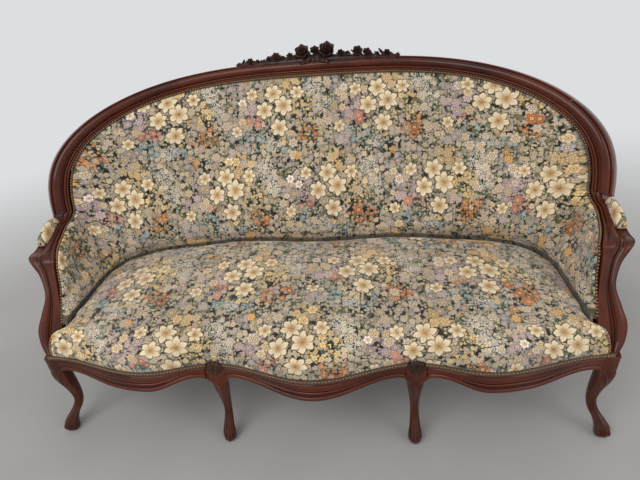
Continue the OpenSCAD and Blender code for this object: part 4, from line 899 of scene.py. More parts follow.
def tapestry_look(start):
    """A woven repeat of garden flowers. The cloth's own coordinates run in metres. Rows of cream
    blooms lie repeat_h apart and each row is shifted by half of repeat_w; zones of other flowers
    lie at set places round each bloom cluster, and cells of three sizes draw the blossoms."""
    cloth = start.at("UV").vector("SNAP", (thread_w, thread_w, thread_w))

    def tile_of(spot):
        """A spot's place in its repeat, from the middle of the nearest bloom cluster."""
        u, v = spot.part(0), spot.part(1)
        row = (v / repeat_h).math("ROUND")
        across = (u - row * (repeat_w / 2)).math("WRAP", repeat_w / 2, -repeat_w / 2)
        return start.node("ShaderNodeCombineXYZ", {0: across, 1: v - row * repeat_h})

    def apart(tile, x, y):
        """The distance of a place in the repeat from x, y in millimetres."""
        return tile.vector("DISTANCE", (x * mm, y * mm, 0), "Value")

    def within(tile, zones):
        """The sum of soft discs: each falls from 1, 8 mm inside its radius, to 0, 12 mm outside."""
        discs = [apart(tile, x, y).ramp(size * mm + 0.012, size * mm - 0.008)
                 for x, y, size in zones]
        return sum(discs[1:], discs[0])

    def polar(offset):
        """The distance and the angle of an offset."""
        return offset.vector("LENGTH", out="Value"), offset.part(1).math("ARCTAN2", offset.part(0))

    def blossoms(under, cell, count, seed, sparse, one, two, heart, zones):
        """Round blossoms, one to a cell: the petals follow the cosine of the angle, and the share
        t of the radius gives a brown eye, a heart, a dark ring and a darker rim."""
        shift = (seed, seed * 0.37, 0)
        point, chances = cloth.vector("ADD", shift).cells(1 / (cell * mm), 0.82)
        chance, other = chances.part(0), chances.part(1)
        centre = point.vector("SUBTRACT", shift)
        far, angle = polar(cloth.vector("SUBTRACT", centre))
        petal = (angle * (count / 2) + other * 6.28).math("COSINE").math("ABSOLUTE")
        t = far / ((petal * 0.3 + 0.72) * (chance * 0.35 + 0.8) * (cell * mm * 0.5))
        tile = tile_of(centre)
        body = other.pick(dye(*one), dye(*two))
        stray = (other * 7.0).math("FRACT").math("GREATER_THAN", 0.7)
        for x, y, size, *yarn in zones:
            near = apart(tile, x, y) + chance * 0.03 + stray
            body = near.math("LESS_THAN", size * mm + 0.015).pick(body, dye(*yarn))
        body = body.shade((other * 13.0).math("FRACT") * 0.55 + 0.68)
        body = body.shade(petal.ramp(0.0, 0.5, 0.7, 1.06))
        body = t.ramp(0.7, 1.0, 0.0, 0.85).pick(body, body.shade(0.3))
        body = (t.ramp(0.3, 0.38) * t.ramp(0.52, 0.44) * 0.75).pick(body, body.shade(0.22))
        body = t.ramp(0.28, 0.34).pick(dye(*heart), body)
        body = t.ramp(0.1, 0.16).pick(dye(96, 62, 36), body)
        if sparse is None:
            kept = (within(tile, large_blossom_zones)
                    + other.math("GREATER_THAN", 0.82)).math("MINIMUM", 1.0)
        else:
            kept = (chance - thin).math("GREATER_THAN", sparse)
        return (t.ramp(1.06, 0.94) * kept).pick(under, body)

    # Ground, and leaves drawn out along two slants
    colour = cloth.noise(60, 3).ramp(0.35, 0.7).pick(dye(20, 17, 13), dye(46, 42, 30))
    u, v = cloth.part(0), cloth.part(1)
    for turn, seed, one, two in ((0.5, 3.1, (112, 112, 76), (100, 118, 112)),
                                 (-0.7, 7.7, (158, 150, 110), (84, 88, 62))):
        slant = start.node("ShaderNodeCombineXYZ", {
            0: (u * math.cos(turn) + v * math.sin(turn)) / 0.0125 + seed,
            1: (v * math.cos(turn) - u * math.sin(turn)) / 0.034 + seed})
        point, chance = slant.cells(1.0, 0.9)
        offset = slant.vector("SUBTRACT", point)
        x, y = offset.part(0).math("ABSOLUTE"), offset.part(1)
        leaf = chance.part(0).pick(dye(*one), dye(*two)).shade(chance.part(1) * 0.5 + 0.7)
        leaf = x.ramp(0.03, 0.09).pick(dye(58, 60, 42), leaf)
        blade = (x + y * y * 0.95).ramp(0.36, 0.3)
        colour = (blade * chance.part(2).math("GREATER_THAN", 0.35)).pick(colour, leaf)

    thin = cloth.noise(34, 2) * 1.15
    for layer in blossom_layers:
        colour = blossoms(colour, *layer)
    # White sprigs: fine specks in a few zones
    specks = cloth.node("ShaderNodeTexVoronoi", {"Vector": cloth, "Scale": 210.0,
                                                 "Randomness": 1.0},
                        voronoi_dimensions="2D", out="Distance").ramp(0.34, 0.26)
    tile = tile_of(cloth)
    colour = (specks * within(tile, sprig_zones).math("MINIMUM", 1.0)).pick(
        colour, dye(226, 220, 204))
    # The large cream blooms: six pointed petals round a tan trumpet, ruffled by a slow noise
    ruffle = cloth.noise(75, 2).math("SUBTRACT", 0.5) * 0.012
    tile = start.node("ShaderNodeCombineXYZ", {0: tile.part(0) + ruffle,
                                               1: tile.part(1) + ruffle * 0.8})
    for x, y, size, turn in blooms:
        far, angle = polar(tile.vector("SUBTRACT", (x * mm, y * mm, 0)))
        petal = (angle * (3 / math.pi) + (2 + turn)).math("PINGPONG", 0.5) * 2.0
        t = far / ((petal ** 0.6 * 0.46 + 0.56) * (size * 0.92 * mm))
        vein = (angle * 40.0).math("SINE") * t.ramp(0.95, 0.3) * 0.1
        tone = start.node("ShaderNodeValToRGB", {0: t + vein})
        stops = tone.socket.node.color_ramp.elements
        stops[0].color = (*dye(96, 64, 36), 1)
        for at, *yarn in bloom_yarns:
            stops.new(at).color = (*dye(*yarn), 1)
        stops[-1].color = (*dye(196, 168, 124), 1)
        colour = t.ramp(1.14, 1.04).pick(colour, dye(50, 42, 28))
        colour = t.ramp(1.02, 0.97).pick(colour, tone.shade(petal.ramp(0.0, 0.3, 0.5, 1.0)))
    # Worn holes near the crevice, where the tan stuffing shows, each with a dark frayed edge
    solid = start.at("Object")
    frayed = solid.noise(45, 3).math("SUBTRACT", 0.5) * 1.6
    stuffing = solid.noise(30, 3).ramp(0.3, 0.7).pick(dye(188, 138, 90), dye(226, 178, 104))
    for x, y, z, half_x, half_y in holes:
        offset = solid.vector("SUBTRACT", (x, y, z)).stretched(1 / half_x, 1 / half_y, 45)
        far = offset.vector("LENGTH", out="Value") + frayed
        colour = far.ramp(1.16, 1.02).pick(colour, dye(52, 36, 24))
        colour = far.ramp(0.98, 0.9).pick(colour, stuffing)
    thread = start.node("ShaderNodeTexWhiteNoise", {"Vector": cloth}, noise_dimensions="2D",
                        out="Value") * 0.22 + 0.89
    wear = solid.noise(3.2, 3).ramp(0.3, 0.72, 0.95, 1.08)
    # Painted shade: the crevice attribute darkens the cloth, down to 0.22 of its colour, in the gap
    # between seat and back and under the seat's edge.
    crevice = start.node("ShaderNodeAttribute", out="Fac", attribute_name="crevice")
    return colour.shade(thread * wear * crevice.ramp(0.0, 1.0, 1.0, 0.22))


def tapestry_weave(start):
    """Ribs of weft over warp, as the product of two sines two threads long, and the slight
    relief of the pattern."""
    place = start.at("UV")
    warp = (place.part(0) * (math.tau / (2 * thread_w))).math("SINE")
    weft = (place.part(1) * (math.tau / (2 * thread_w))).math("SINE")
    return (warp * weft * 0.4 + place.noise(420, 2, kind="2D") * 0.5
            + place.noise(70, 2, kind="2D") * 0.8)


tapestry = finish("tapestry", tapestry_look, 0.86, tapestry_weave, bump_depth=0.0009,
                  bump_share=0.5, sheen=0.25)


def paint_crevice_shade(piece, share):
    """Marks how deep each point lies in the gap between seat and back, where its cloth gets painted
    shade.
    """
    mark = piece.data.attributes.new("crevice", "FLOAT", "POINT")
    values = np.zeros(len(piece.data.vertices), np.float32)
    values[:share.size] = share.ravel()
    mark.data.foreach_set("value", values)


def grid_numbers(rings):
    """The point numbers of a grid of rings."""
    return np.arange(rings[..., 0].size).reshape(rings.shape[:2])


def coordinates(piece):
    """The points of a piece in metres, one to a row."""
    points = np.empty(len(piece.data.vertices) * 3)
    piece.data.vertices.foreach_get("co", points)
    return points.reshape(-1, 3)


def plump(piece, held, most, pressure=3.0, steps=18):
    """Blender's cloth swells the stuffed piece against its own tension. The points that held
    names stay, and no point moves further than most, in millimetres."""
    group = piece.vertex_groups.new(name="held")
    group.add([int(i) for i in held], 1.0, "REPLACE")
    cloth = piece.modifiers.new("swell", "CLOTH")
    cloth.settings.quality = 5
    cloth.settings.mass = 0.3
    cloth.settings.tension_stiffness = cloth.settings.compression_stiffness = 25
    cloth.settings.bending_stiffness = 2.0
    cloth.settings.use_pressure = True
    cloth.settings.uniform_pressure_force = pressure
    cloth.settings.effector_weights.gravity = 0
    cloth.settings.vertex_group_mass = "held"
    cloth.collision_settings.use_collision = False
    cloth.point_cache.frame_start, cloth.point_cache.frame_end = 1, steps
    before = coordinates(piece)
    for step in range(1, steps + 1):
        bpy.context.scene.frame_set(step)
    swelled = piece.evaluated_get(bpy.context.evaluated_depsgraph_get())
    moved = coordinates(swelled) - before
    piece.modifiers.remove(cloth)
    piece.vertex_groups.remove(group)
    bpy.context.scene.frame_set(1)
    far = np.linalg.norm(moved, axis=1, keepdims=True)
    moved *= np.minimum(1, most * mm / np.maximum(far, 1e-9))
    piece.data.vertices.foreach_set("co", (before + moved).ravel())
    piece.data.update()


# The seat's outline: along the front rail, round the ear in front of the stump, and back to the
# middle of the crevice. Its third number is 1 where the cover is nailed to the front rail.
ear_in, ear_run = 13, 46
front_x = (post_in - 4) * np.arange(14) / 13
side_plan = plan_at(through(round_share, np.arange(17, -1, -1.0)), crevice_x, crevice_run)
outline = np.concatenate([
    np.stack([front_x, front_at(front_x), np.ones(14)], 1),
    [[corner_x - ear_in, corner_y + 4, 1],
     [corner_x - ear_in * 1.3, corner_y + ear_run * 0.35, 0.3],
     [crevice_x + ear_in * 0.8, corner_y + ear_run, 0]],
    np.concatenate([side_plan, np.zeros((18, 1))], 1)])
right_half = through(outline, np.linspace(0, len(outline) - 1, 260))
outline = np.concatenate([right_half, right_half[-2:0:-1] * [-1, 1, 1]])
ox, oy, weight = outline[None, :, 0], outline[None, :, 1], np.clip(outline[None, :, 2], 0, 1)
# Rows up the side: inset and rise of a nailed edge, then inset and rise in the crevice
side_share = [[0.04, 0, 0.04, 0], [-0.5, 0.16, 0.04, 0.2], [-0.86, 0.42, 0.04, 0.45],
              [-0.7, 0.68, 0.06, 0.7], [-0.1, 0.87, 0.12, 0.87], [0.9, 0.96, 0.5, 0.96],
              [2.6, 1, 1.7, 1]]
nailed_in, nailed_rise, inner_in, inner_rise = through(
    side_share, np.linspace(0, 6, 40)).T[..., None]
inset = seat_swell * mix(inner_in, nailed_in, weight)
rise = mix(inner_rise, nailed_rise, weight)
sx = ox * (1 - np.maximum(inset, inset * (1 - weight)) / frame_x)
sy = plan_y + (oy - plan_y) * (1 - inset / crevice_run)
ear = ease((np.abs(ox) - 735) / 60) * ease((-200 - oy) / 40)
sx = sx - np.sign(sx) * ear * 24 * rise ** 1.6
foot_z = mix(rim_z, rebate_h + 0.4, weight)
sz = mix(foot_z, seat_top(sx, sy), rise)
# The corners of the seat stay in front of the leaning arm stumps
in_front = np.minimum(sy, stump_y - 3 + 0.545 * (sz - collar_h))
band = np.stack([sx, np.where(np.abs(sx) > crevice_x + 3, in_front, sy), sz], 2)
shrink = np.linspace(0.86, 0.05, 44)[:, None] / 0.9
cx, cy = band[-1:, :, 0] * shrink, plan_y + (band[-1:, :, 1] - plan_y) * shrink
crown = np.stack([cx, cy, seat_top(cx, cy)], 2)
grow = np.array([0.3, 0.6, 0.9, 0.985])[:, None]
under = np.stack([ox * grow, plan_y + (oy - plan_y) * grow, np.tile(foot_z, (4, 1))], 2)
seat_rings = np.concatenate([under, band, crown])
# Years of sitting leave slow waves in the stuffing: a sum of six products of two sines
rng = np.random.default_rng(5)
phases = rng.uniform(0, 6.28, (6, 2))
settle = sum(np.sin(seat_rings[..., 0] / (70 + 34 * i) + phases[i, 0])
             * np.sin(seat_rings[..., 1] / (60 + 30 * i) + phases[i, 1]) for i in range(6)) * 0.7
seat_rings[6:, :, 2] += (settle * np.clip((seat_rings[..., 2] - 380) / 30, 0, 1))[6:]


def close(grid):
    """A grid with its first column repeated after its last."""
    return np.concatenate([grid, grid[:, :1]], 1)


# The pattern is moved along so that its bloom clusters lie where the real ones do
span = close(seat_rings)
seat_u = (span[..., 0] - 145) * mm
seat_v = (span[..., 1] + span[..., 2] - seat_top(span[..., 0], span[..., 1]) + 110) * mm
seat = carve("tapestry_seat", seat_rings, tapestry, seat_u, seat_v, smooth=180, worn=False)
# Painted shade on the seat: its tucked rings under the edge, away from the nailed front, and its
# low rings towards the crevice at the back and sides.
depth = np.clip((0.95 - rise) / 0.16, 0, 1) * (1 - weight) * ease((sy + 290) / 25)
paint_crevice_shade(seat, np.concatenate([np.tile(1 - weight, (4, 1)), depth]))
rows = grid_numbers(seat_rings)
plump(seat, np.append(rows[:9].ravel(), [rows.size]), 7)
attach(seat, "root")
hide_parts("seat_cushion")

# ---------------------------------------------------------------- Back
# The stuffed back is one tapestry cover that runs from stump to stump inside the show wood, full
# and rounded low down and tight along the braid.


def back_parts(s):
    """At s: the show wood's frame, the crease in the seat, the normal there, and how full the
    edge is: the distance from the one to the other over 90 mm, and 1 at most."""
    f = frame_at(s)
    w = through(round_share, s * 10)
    q = plan_at(w, crevice_x, crevice_run)
    crease = np.stack([q[:, 0], q[:, 1], seat_top(q[:, 0], q[:, 1]) - 3], 1)
    full = np.minimum(1, np.linalg.norm(f[0] - crease, axis=1) / 90)
    return f, crease, plan_normal(w, crevice_x, crevice_run), full


def in_frame(f, a, b):
    """The point a across and b in front of the inner edge of the show wood."""
    a, b = np.broadcast_to(a, f[3].shape), np.broadcast_to(b, f[3].shape)
    return f[0] + a[:, None] * f[1] + b[:, None] * f[2]


def edge_gap(s, full):
    """How far inside the show wood the cover ends: 0.8 mm, and up to 6.8 mm beside the arms."""
    return 0.4 * np.where(s > 0.9, mix(2, 17, full), 2)


back_s = np.linspace(0, 1.77, 200)
f, crease, n_in, full = back_parts(back_s)
head = in_frame(f, -20 * full, 5 * full)
swell = 36 * np.minimum(1, np.linalg.norm(f[0] - crease, axis=1) / 500)
keys = [in_frame(f, -edge_gap(back_s, full), -5 * full), in_frame(f, -12.5 * full, -5 * full),
        in_frame(f, -15 * full, 2.5 * full), head]
# Shares of the way down from there to the crease, and of the swell that stands out there
for b, share in ((0.1, 0.22), (0.25, 0.26), (0.42, 0.22), (0.58, 0.5), (0.74, 0.92), (0.9, 0.8)):
    keys.append(mix(head, crease, b) + unit(mix(f[2], n_in, b)) * (swell * share)[:, None])
keys += [crease, crease * [1, 1, 0] + [0, 0, rim_z + 1]]
front = through(np.array(keys), np.concatenate([
    np.linspace(0, 3, 14), np.linspace(3, 10, 64)[1:], [10.5, 11]]))
thick = mix(44, 15, ease((back_s - 1.2) / 0.3))[:, None]
rear_foot = crease * [1, 1, 0] - n_in * thick
rear_low = rear_foot + crease * [0, 0, 1]
rear_high = in_frame(f, -edge_gap(back_s, full), -12 * full)
rear = np.array([rear_foot + [0, 0, rim_z + 1], mix(rear_low, rear_high, 0.05),
                 mix(rear_low, rear_high, 0.4), mix(rear_low, rear_high, 0.75), rear_high])
half = np.concatenate([rear, front]).transpose(1, 0, 2)
back_rings = mirrored(half)
# The cloth's width runs along the plan of the back: each point takes the run of the nearest point
# of that line, and adds its own offset along the line's slope there
plan_line = plan_at(np.linspace(0, 3.4, 500), 790, 350)
flat_xy = np.stack([np.abs(back_rings[..., 0]), back_rings[..., 1]], 2).reshape(-1, 2)
nearest = np.concatenate([np.argmin(((part[:, None] - plan_line[None]) ** 2).sum(2), 1)
                          for part in np.array_split(flat_xy, 40)])
slope = unit(np.gradient(plan_line, axis=0))
back_run = run_along(plan_line)[nearest] + np.einsum(
    "ij,ij->i", flat_xy - plan_line[nearest], slope[nearest])
back_run = back_run.reshape(back_rings.shape[:2]) * np.sign(back_rings[..., 0] + 1e-9)
back = carve("tapestry_back", back_rings, tapestry, close((back_run - 45) * mm),
             close((back_rings[..., 2] * 1.08 - 100) * mm), smooth=180, worn=False)
# Painted shade on the back: the cloth darkens where it comes down to within 7 mm of the seat, fully
# from 2 mm below it.
above = back_rings[..., 2] - seat_top(back_rings[..., 0], np.clip(back_rings[..., 1], -300, None))
paint_crevice_shade(back, np.clip((7 - above) / 9, 0, 1))
rows = grid_numbers(back_rings)
plump(back, np.concatenate([rows[:, :13].ravel(), rows[:, -8:].ravel(), rows[:3].ravel(),
                            rows[-3:].ravel(), [rows.size, rows.size + 1]]), 6)
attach(back, "root")
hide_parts("back_cushion")

# ---------------------------------------------------------------- Arm pads
# A small tapestry pad sits in the rebate of each arm, round over its top and drawn in at its
# ends. Its cover is tacked down into the rebate all round.

pad_h, pad_print = 30, 0.105
v = np.linspace(0, 1, 64)
s = mix(1.045, 1.28, v)
f = frame_at(s)
full = np.sqrt(np.maximum(0.02, 1 - np.abs(2 * v - 1) ** 2.8))[:, None]
low = (1.8 - 0.22 * mix(rail_d, stump_d, ease(s - 1)))[:, None]
middle, half_w = 0.78 * f[3][:, None], 0.3 * f[3][:, None] * mix(0.5, 1, full)
a = np.linspace(0, np.pi, 32)[None]
across = np.concatenate([middle + half_w * 1.06 * np.cos(a), middle - half_w, middle,
                         middle + half_w], 1)
high = np.concatenate([low + 1 + (pad_h - low) * full * np.sin(a) ** 0.75, low, low, low], 1)
pad_rings = f[0][:, None] + across[..., None] * f[1][:, None] + high[..., None] * f[2][:, None]
pad_u = np.broadcast_to(((v - 0.5) * pad_print)[:, None], (64, 36))
pad_v = close(run_along(np.stack([across, high], 2), 1)) * mm - 0.04
for side, word in ((-1, "left"), (1, "right")):
    pad = carve(word + "_tapestry_pad", flipped(pad_rings, side), tapestry, pad_u, pad_v,
                smooth=180, worn=False)
    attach(pad, "root")
    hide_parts(word + "_arm_pad")

# ---------------------------------------------------------------- Outside covers
# Plain brown cloth is stretched over the outside of the back and of both arms, from the back of
# the show wood down to the seat frame, and tacked there.

outside_cloth = finish("outside_cloth", *woven_look(
    ((0.17, 0.135, 0.1), (0.235, 0.19, 0.145), (0.2, 0.16, 0.12)), 0.0024, "UV"),
    bump_depth=0.0005, bump_share=0.6, sheen=0.2)


def cover_at(s):
    """The outside cloth at the places s: straight from the seat frame's edge up to the back of the
    show wood, drawn in a little between by its own tension."""
    i, u, n, wide = frame_at(s)
    w = through(round_share, s * 10)
    inward = plan_normal(w, frame_x, frame_run)
    plan = plan_at(w, frame_x, frame_run)
    across = mix(0.1, 0.8, ease((s - 0.5) * 1.6))
    clear = 1.8 * (0.7 + 2 * ease(1 - np.abs(s - 1) / 0.1))
    behind = mix(rail_d, stump_d, ease(s - 1)) + clear
    top = i + (across * wide)[:, None] * u - behind[:, None] * n
    top[:, 0] = np.where(s > 1.4, np.maximum(top[:, 0], frame_x + 1.8), top[:, 0])
    low = np.stack([plan[:, 0], plan[:, 1], np.full(len(s), web_h - 0.8)], 1)
    low[:, 1] -= 12 * ease((s - 1.6) / 0.3)
    out_low, out_top = -inward, unit(mix(-inward, -n, 0.7))
    v = np.linspace(0, 1, 46)[None, :, None]
    sag = np.sin(np.pi * v) * 1.2
    cloth = (mix(low[:, None], top[:, None], v)
             + mix(out_low[:, None], out_top[:, None], v) * (2.6 - sag))
    near_tacks = np.exp(-v[..., 0] / 0.03) + np.exp(-(1 - v[..., 0]) / 0.03)
    puckers = 0.5 * np.sin(s * 420)[:, None] * near_tacks
    return cloth + out_low[:, None] * puckers[..., None]


def area_of(cloth):
    """A grid's area in square metres: half the length of the cross product of the diagonals of
    each cell, added up."""
    a, b = cloth[1:, 1:] - cloth[:-1, :-1], cloth[1:, :-1] - cloth[:-1, 1:]
    return float(np.linalg.norm(np.cross(a, b), axis=2).sum() * 0.5 * mm ** 2)


def stretched_cloth(name, cloth, node):
    """Makes a sheet of the grid cloth. It also measures its longest lines and its area,
    which nothing uses."""
    piece = carve(name, cloth, outside_cloth, closed=False, smooth=180, worn=False,
                  u=np.repeat(run_along(cloth[:, 0])[:, None] * mm, cloth.shape[1], 1),
                  v=run_along(cloth, 1) * mm)
    wide, long = run_along(cloth)[-1].max() * mm, run_along(cloth, 1)[:, -1].max() * mm
    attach(piece, "root")
    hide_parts(node)
    area_of(cloth)


stretched_cloth("outside_back_cloth", mirrored(cover_at(np.linspace(0, 0.75, 130)))[::-1],
                "outside_back")
for side, word in ((-1, "left"), (1, "right")):
    arm_cloth = flipped(cover_at(np.linspace(0.752, 1.9, 160)), side)
    stretched_cloth(word + "_outside_arm_cloth", arm_cloth if side < 0 else arm_cloth[::-1],
                    word + "_outside_arm")

# ---------------------------------------------------------------- Braid and nails
# A narrow woven braid hides the tacks along the edge of the back and along the front rail. It is
# held by a close row of small domed nails of antique brass.

nail_pitch, nail_r = 9.3, 4.0


def cord_wave(start):
    """Slanting cords: a sine along the braid whose phase goes to and fro across it."""
    place = start.at("UV")
    u, v = place.part(0), place.part(1)
    return ((u + v.math("PINGPONG", 0.0035)) * (math.tau / 0.0034)).math("SINE")


def braid_look(start):
    """Gimp of tan and brown silk, with the dirt of years in patches."""
    tone = cord_wave(start).ramp(-0.7, 0.7).pick((0.04, 0.022, 0.012), (0.13, 0.075, 0.038))
    dirt = start.at("UV").noise(90, 2).ramp(0.4, 0.65)
    return (dirt * 0.5).pick(tone, (0.1, 0.065, 0.04))


def brass_look(start):
    """Antique brass, browner in patches."""
    patch = start.at("Object").noise(700, 2).ramp(0.35, 0.65)
    return patch.pick((0.17, 0.1, 0.047), (0.33, 0.21, 0.108))


braid = finish("braid", braid_look, 0.8, cord_wave, bump_depth=0.0009, bump_share=0.8, sheen=0.3)
nail_brass = finish("nail_brass", brass_look, cloudy(900, 2, 0.28, 0.5), metallic=1.0)


def domed_nails(name, at, out, sideways):
    """A row of domed nail heads: rings of a flattened half ball, with a short rim that goes into
    the braid, set at the points at and turned to face along out."""
    t = np.linspace(0, 2 * np.pi, 9)[:-1, None]
    rows = np.array([[0.96, -0.5], [1, 0.0], [0.84, 0.38], [0.46, 0.62]]) * nail_r
    sideways, other = sideways[:, None, None], np.cross(out, sideways)[:, None, None]
    flat, rise = rows[:, 0, None, None], rows[:, 1, None, None]
    ring = (flat * (np.cos(t) * sideways + np.sin(t) * other)
            + rise * out[:, None, None] + at[:, None, None])
    tips = np.stack([at - 0.45 * nail_r * out, at + 0.72 * nail_r * out], 1)
    points = np.concatenate([ring.reshape(len(at), -1, 3), tips], 1)
    quads, fans = grid_faces(4, 8)
    step = (np.arange(len(at)) * points.shape[1])[:, None, None]
    faces = [(quads[:, [0, 3, 2, 1]] + step).reshape(-1, 4),
             (fans[:, [1, 0, 2]] + step).reshape(-1, 3)]
    piece = sew(name, points.reshape(-1, 3), faces, nail_brass, 50)
    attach(piece, "root")


def even_places(line):
    """Places about one nail pitch apart along a line of points, without its ends, as fractions
    of its row numbers."""
    run = run_along(line)
    return np.interp(np.linspace(0, run[-1], int(run[-1] / nail_pitch) + 1)[1:-1], run,
                     np.arange(len(line)))


def braid_band(name, low, high, out, node):
    """A braid between two lines of points, arched outward, with nails along its middle."""
    v = np.linspace(0, 1, 15)
    arch = 1.3 + 1.3 * (1 - np.abs(2 * v - 1) ** 4) + 0.25 * np.cos(6 * np.pi * v)
    front = mix(low[:, None], high[:, None], v[:, None]) + arch[:, None] * out[:, None]
    rings = np.concatenate([low[:, None], front, high[:, None]], 1)
    piece = carve(name, rings, braid, smooth=80, worn=False)
    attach(piece, "root")
    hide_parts(node)
    middle = (low + high) / 2 + 2.4 * out
    rows = even_places(middle)
    at, facing = through(middle, rows), unit(through(out, rows))
    ahead = unit(through(middle, np.minimum(rows + 0.3, len(middle) - 1)) - at)
    ahead = unit(ahead - facing * np.sum(ahead * facing, 1)[:, None])
    domed_nails(name.replace("braid", "nails"), at, facing, ahead)


s = np.linspace(0, 1.77, 540)
f, crease, n_in, full = back_parts(s)
low = in_frame(f, -11 * full, 0.8 - 5 * full)
high = in_frame(f, -edge_gap(s, full) + 0.4, 0.8 - 5 * full)
braid_band("back_edge_braid", mirrored(low), mirrored(high), mirrored(f[2]), "back_braid")

x = np.linspace(-1, 1, 720) * (post_in + corner_post * 0.55)
y = front_at(x) - 0.6
out = unit(np.stack([np.gradient(y, x), -np.ones_like(x), 0 * x], 1))
braid_band("seat_edge_braid", np.stack([x, y, np.full(len(x), rebate_h - braid_h + 3.5)], 1),
           np.stack([x, y, np.full(len(x), float(rebate_h))], 1), out, "seat_braid")

# Seven nails go up each front corner of the seat. They follow the column of its points, among
# those with x over 778 mm, that stands out most in the direction ear_way.
swelled = coordinates(seat)[:seat_rings[..., 0].size].reshape(seat_rings.shape)[4:40] / mm
ear_way = unit(np.array([0.3, -0.94, 0.12]))
ear_rise = (swelled[:, 0, 2] > rebate_h + 1) & (swelled[:, 0, 2] < rebate_h + 68)
ear_column = np.argmax(np.where(swelled[14, :, 0] > 778, swelled[14] @ ear_way, -1e9))
ear_line = swelled[ear_rise, ear_column]
for side, word in ((-1, "left"), (1, "right")):
    rows = even_places(ear_line)
    facing = np.tile(flipped(ear_way, side), (len(rows), 1))
    at = flipped(through(ear_line, rows), side) + facing * 1.4
    domed_nails(word + "_corner_nails", at, facing, unit(np.cross(facing, [0, 0, 1.0])))

# ---------------------------------------------------------------- Crest
# The carved crest of roses, small flowers, buds and leaves is cut from its own block of mahogany,
# stained nearly black and glued along the top of the rail.

carved_mahogany = polished("carved_mahogany", (0.026, 0.01, 0.007), (0.085, 0.034, 0.02),
                           (0.009, 0.004, 0.0035), 0.0008, 0.5, 0.25, 0.1)


def petal_form(rows, around, cup, tip):
    """A petal or leaf of length and half width 1: rings of a thin lens along it. Its width is the
    sine of the way along raised to a power, and cup bends its sides and its tip upward."""
    t = np.linspace(0.02, 0.985, rows)[:, None]
    a = np.linspace(0, 2 * np.pi, around + 1)[:-1][None, :]
    wide = np.sin(np.pi * t ** tip) ** 0.75
    y = wide * np.cos(a)
    z = (0.13 * (wide + 0.1) * np.sin(a) + cup * (y ** 2 * 0.55 + t ** 2 * 0.6)
         + 0.05 * np.sin(y * 9) * (t > 0.3))
    return np.stack([np.broadcast_to(t, y.shape), y, z], 2)


def placed(form, centre, turn, lean, length, wide, tilt):
    """One form for each row of the arrays: scaled, leaned up from the flower's plane, turned
    about its axis, and set round the centre. tilt holds each flower's three axes."""
    length, wide, turn, lean = (a[:, None, None] for a in (length, wide, turn, lean))
    x, y, z = form[..., 0] * length, form[..., 1] * wide, form[..., 2] * length
    x, z = x * np.cos(lean) - z * np.sin(lean), x * np.sin(lean) + z * np.cos(lean)
    x, y = x * np.cos(turn) - y * np.sin(turn), x * np.sin(turn) + y * np.cos(turn)
    return np.einsum("nijk,nkl->nijl", np.stack([x, y, z], -1), tilt) + centre[:, None, None]


def grown(name, grids, material):
    """One closed mesh of many little tubes, each with its ends drawn to a point."""
    points, quads, fans, start = [], [], [], 0
    for grid in grids:
        count, n, m = grid.shape[:3]
        size = n * m + 2
        ends = np.stack([grid[:, 0].mean(1), grid[:, -1].mean(1)], 1)
        points.append(np.concatenate([grid.reshape(count, -1, 3), ends], 1).reshape(-1, 3))
        face, fan = grid_faces(n, m)
        face, fan = face[:, [0, 3, 2, 1]], fan[:, [1, 0, 2]]
        if not faces_outward(points[-1][:size], face):
            face, fan = face[:, ::-1], fan[:, ::-1]
        step = start + (np.arange(count) * size)[:, None, None]
        quads.append((face + step).reshape(-1, 4))
        fans.append((fan + step).reshape(-1, 3))
        start += count * size
    points, faces = np.concatenate(points), [np.concatenate(quads), np.concatenate(fans)]
    places = np.concatenate([points[f.ravel()] for f in faces])[:, [0, 2]] * mm
    return sew(name, points, faces, material, 70, places)


def crest_place(x):
    """The show wood's frame where the arch's outer edge lies at x."""
    s = np.linspace(0, joint_s, 1600)
    return frame_at(np.interp(np.abs(x), edge_at(s, outer_rows, 0)[:, 0], s))


def on_crest(x, rise, forward, look_up):
    """Centre and axes of flowers at x: across, up the crest, and out of it towards the front."""
    i, u, n, wide = crest_place(x)
    centre = i + (wide + rise)[:, None] * u + (forward - 15)[:, None] * n
    flip = np.stack([np.where(x < 0, -1.0, 1.0), np.ones(len(x)), np.ones(len(x))], 1)
    centre, u, n = centre * flip, u * flip, n * flip
    outward = unit(n * np.cos(look_up)[:, None] + u * np.sin(look_up)[:, None])
    across = unit(np.cross(u, outward))
    return centre, np.stack([across, np.cross(outward, across), outward], 1)


# Whorls of a rose: petals, length and half width over its radius, lean, rise, and first turn
whorls = ((3, 0.42, 0.34, 1.25, 0.3, 0.2), (4, 0.6, 0.42, 1.0, 0.22, 0.8),
          (5, 0.82, 0.5, 0.62, 0.12, 0.1), (6, 1.0, 0.52, 0.2, 0.0, 0.55))
# Roses and small flowers: x, radius, rise, forward, look up
rose_rows = np.array([
    [-41, 29, 24, 9, 0.5], [38, 31, 26, 9, 0.5], [-1, 19, 27, 3, 0.6], [-84, 14, 15, 9, 0.4],
    [-131, 19, 15, 9, 0.45], [-156, 13, 11, 9, 0.4], [84, 13, 16, 9, 0.4], [139, 20, 18, 9, 0.5],
    [171, 17, 13, 9, 0.5], [-222, 15, 9, 7, 0.5], [-198, 9, 8, 7, 0.6], [238, 14, 10, 7, 0.6],
    [207, 9, 8, 6, 0.4], [-110, 9, 12, 9, 0.5], [108, 10, 13, 9, 0.5]])
# Long leaves below the two large roses: x, rise, forward, turn, length, half width, look up
sweeps = np.array([
    [-12, 10, 12, 3.9, 36, 7, 0.1], [10, 10, 12, 5.5, 36, 7, 0.1], [-20, 4, 13, 3.6, 40, 7, 0.0],
    [17, 4, 13, 5.8, 40, 7, 0.0], [-2, 12, 12, 4.71, 22, 6, 0.1]])


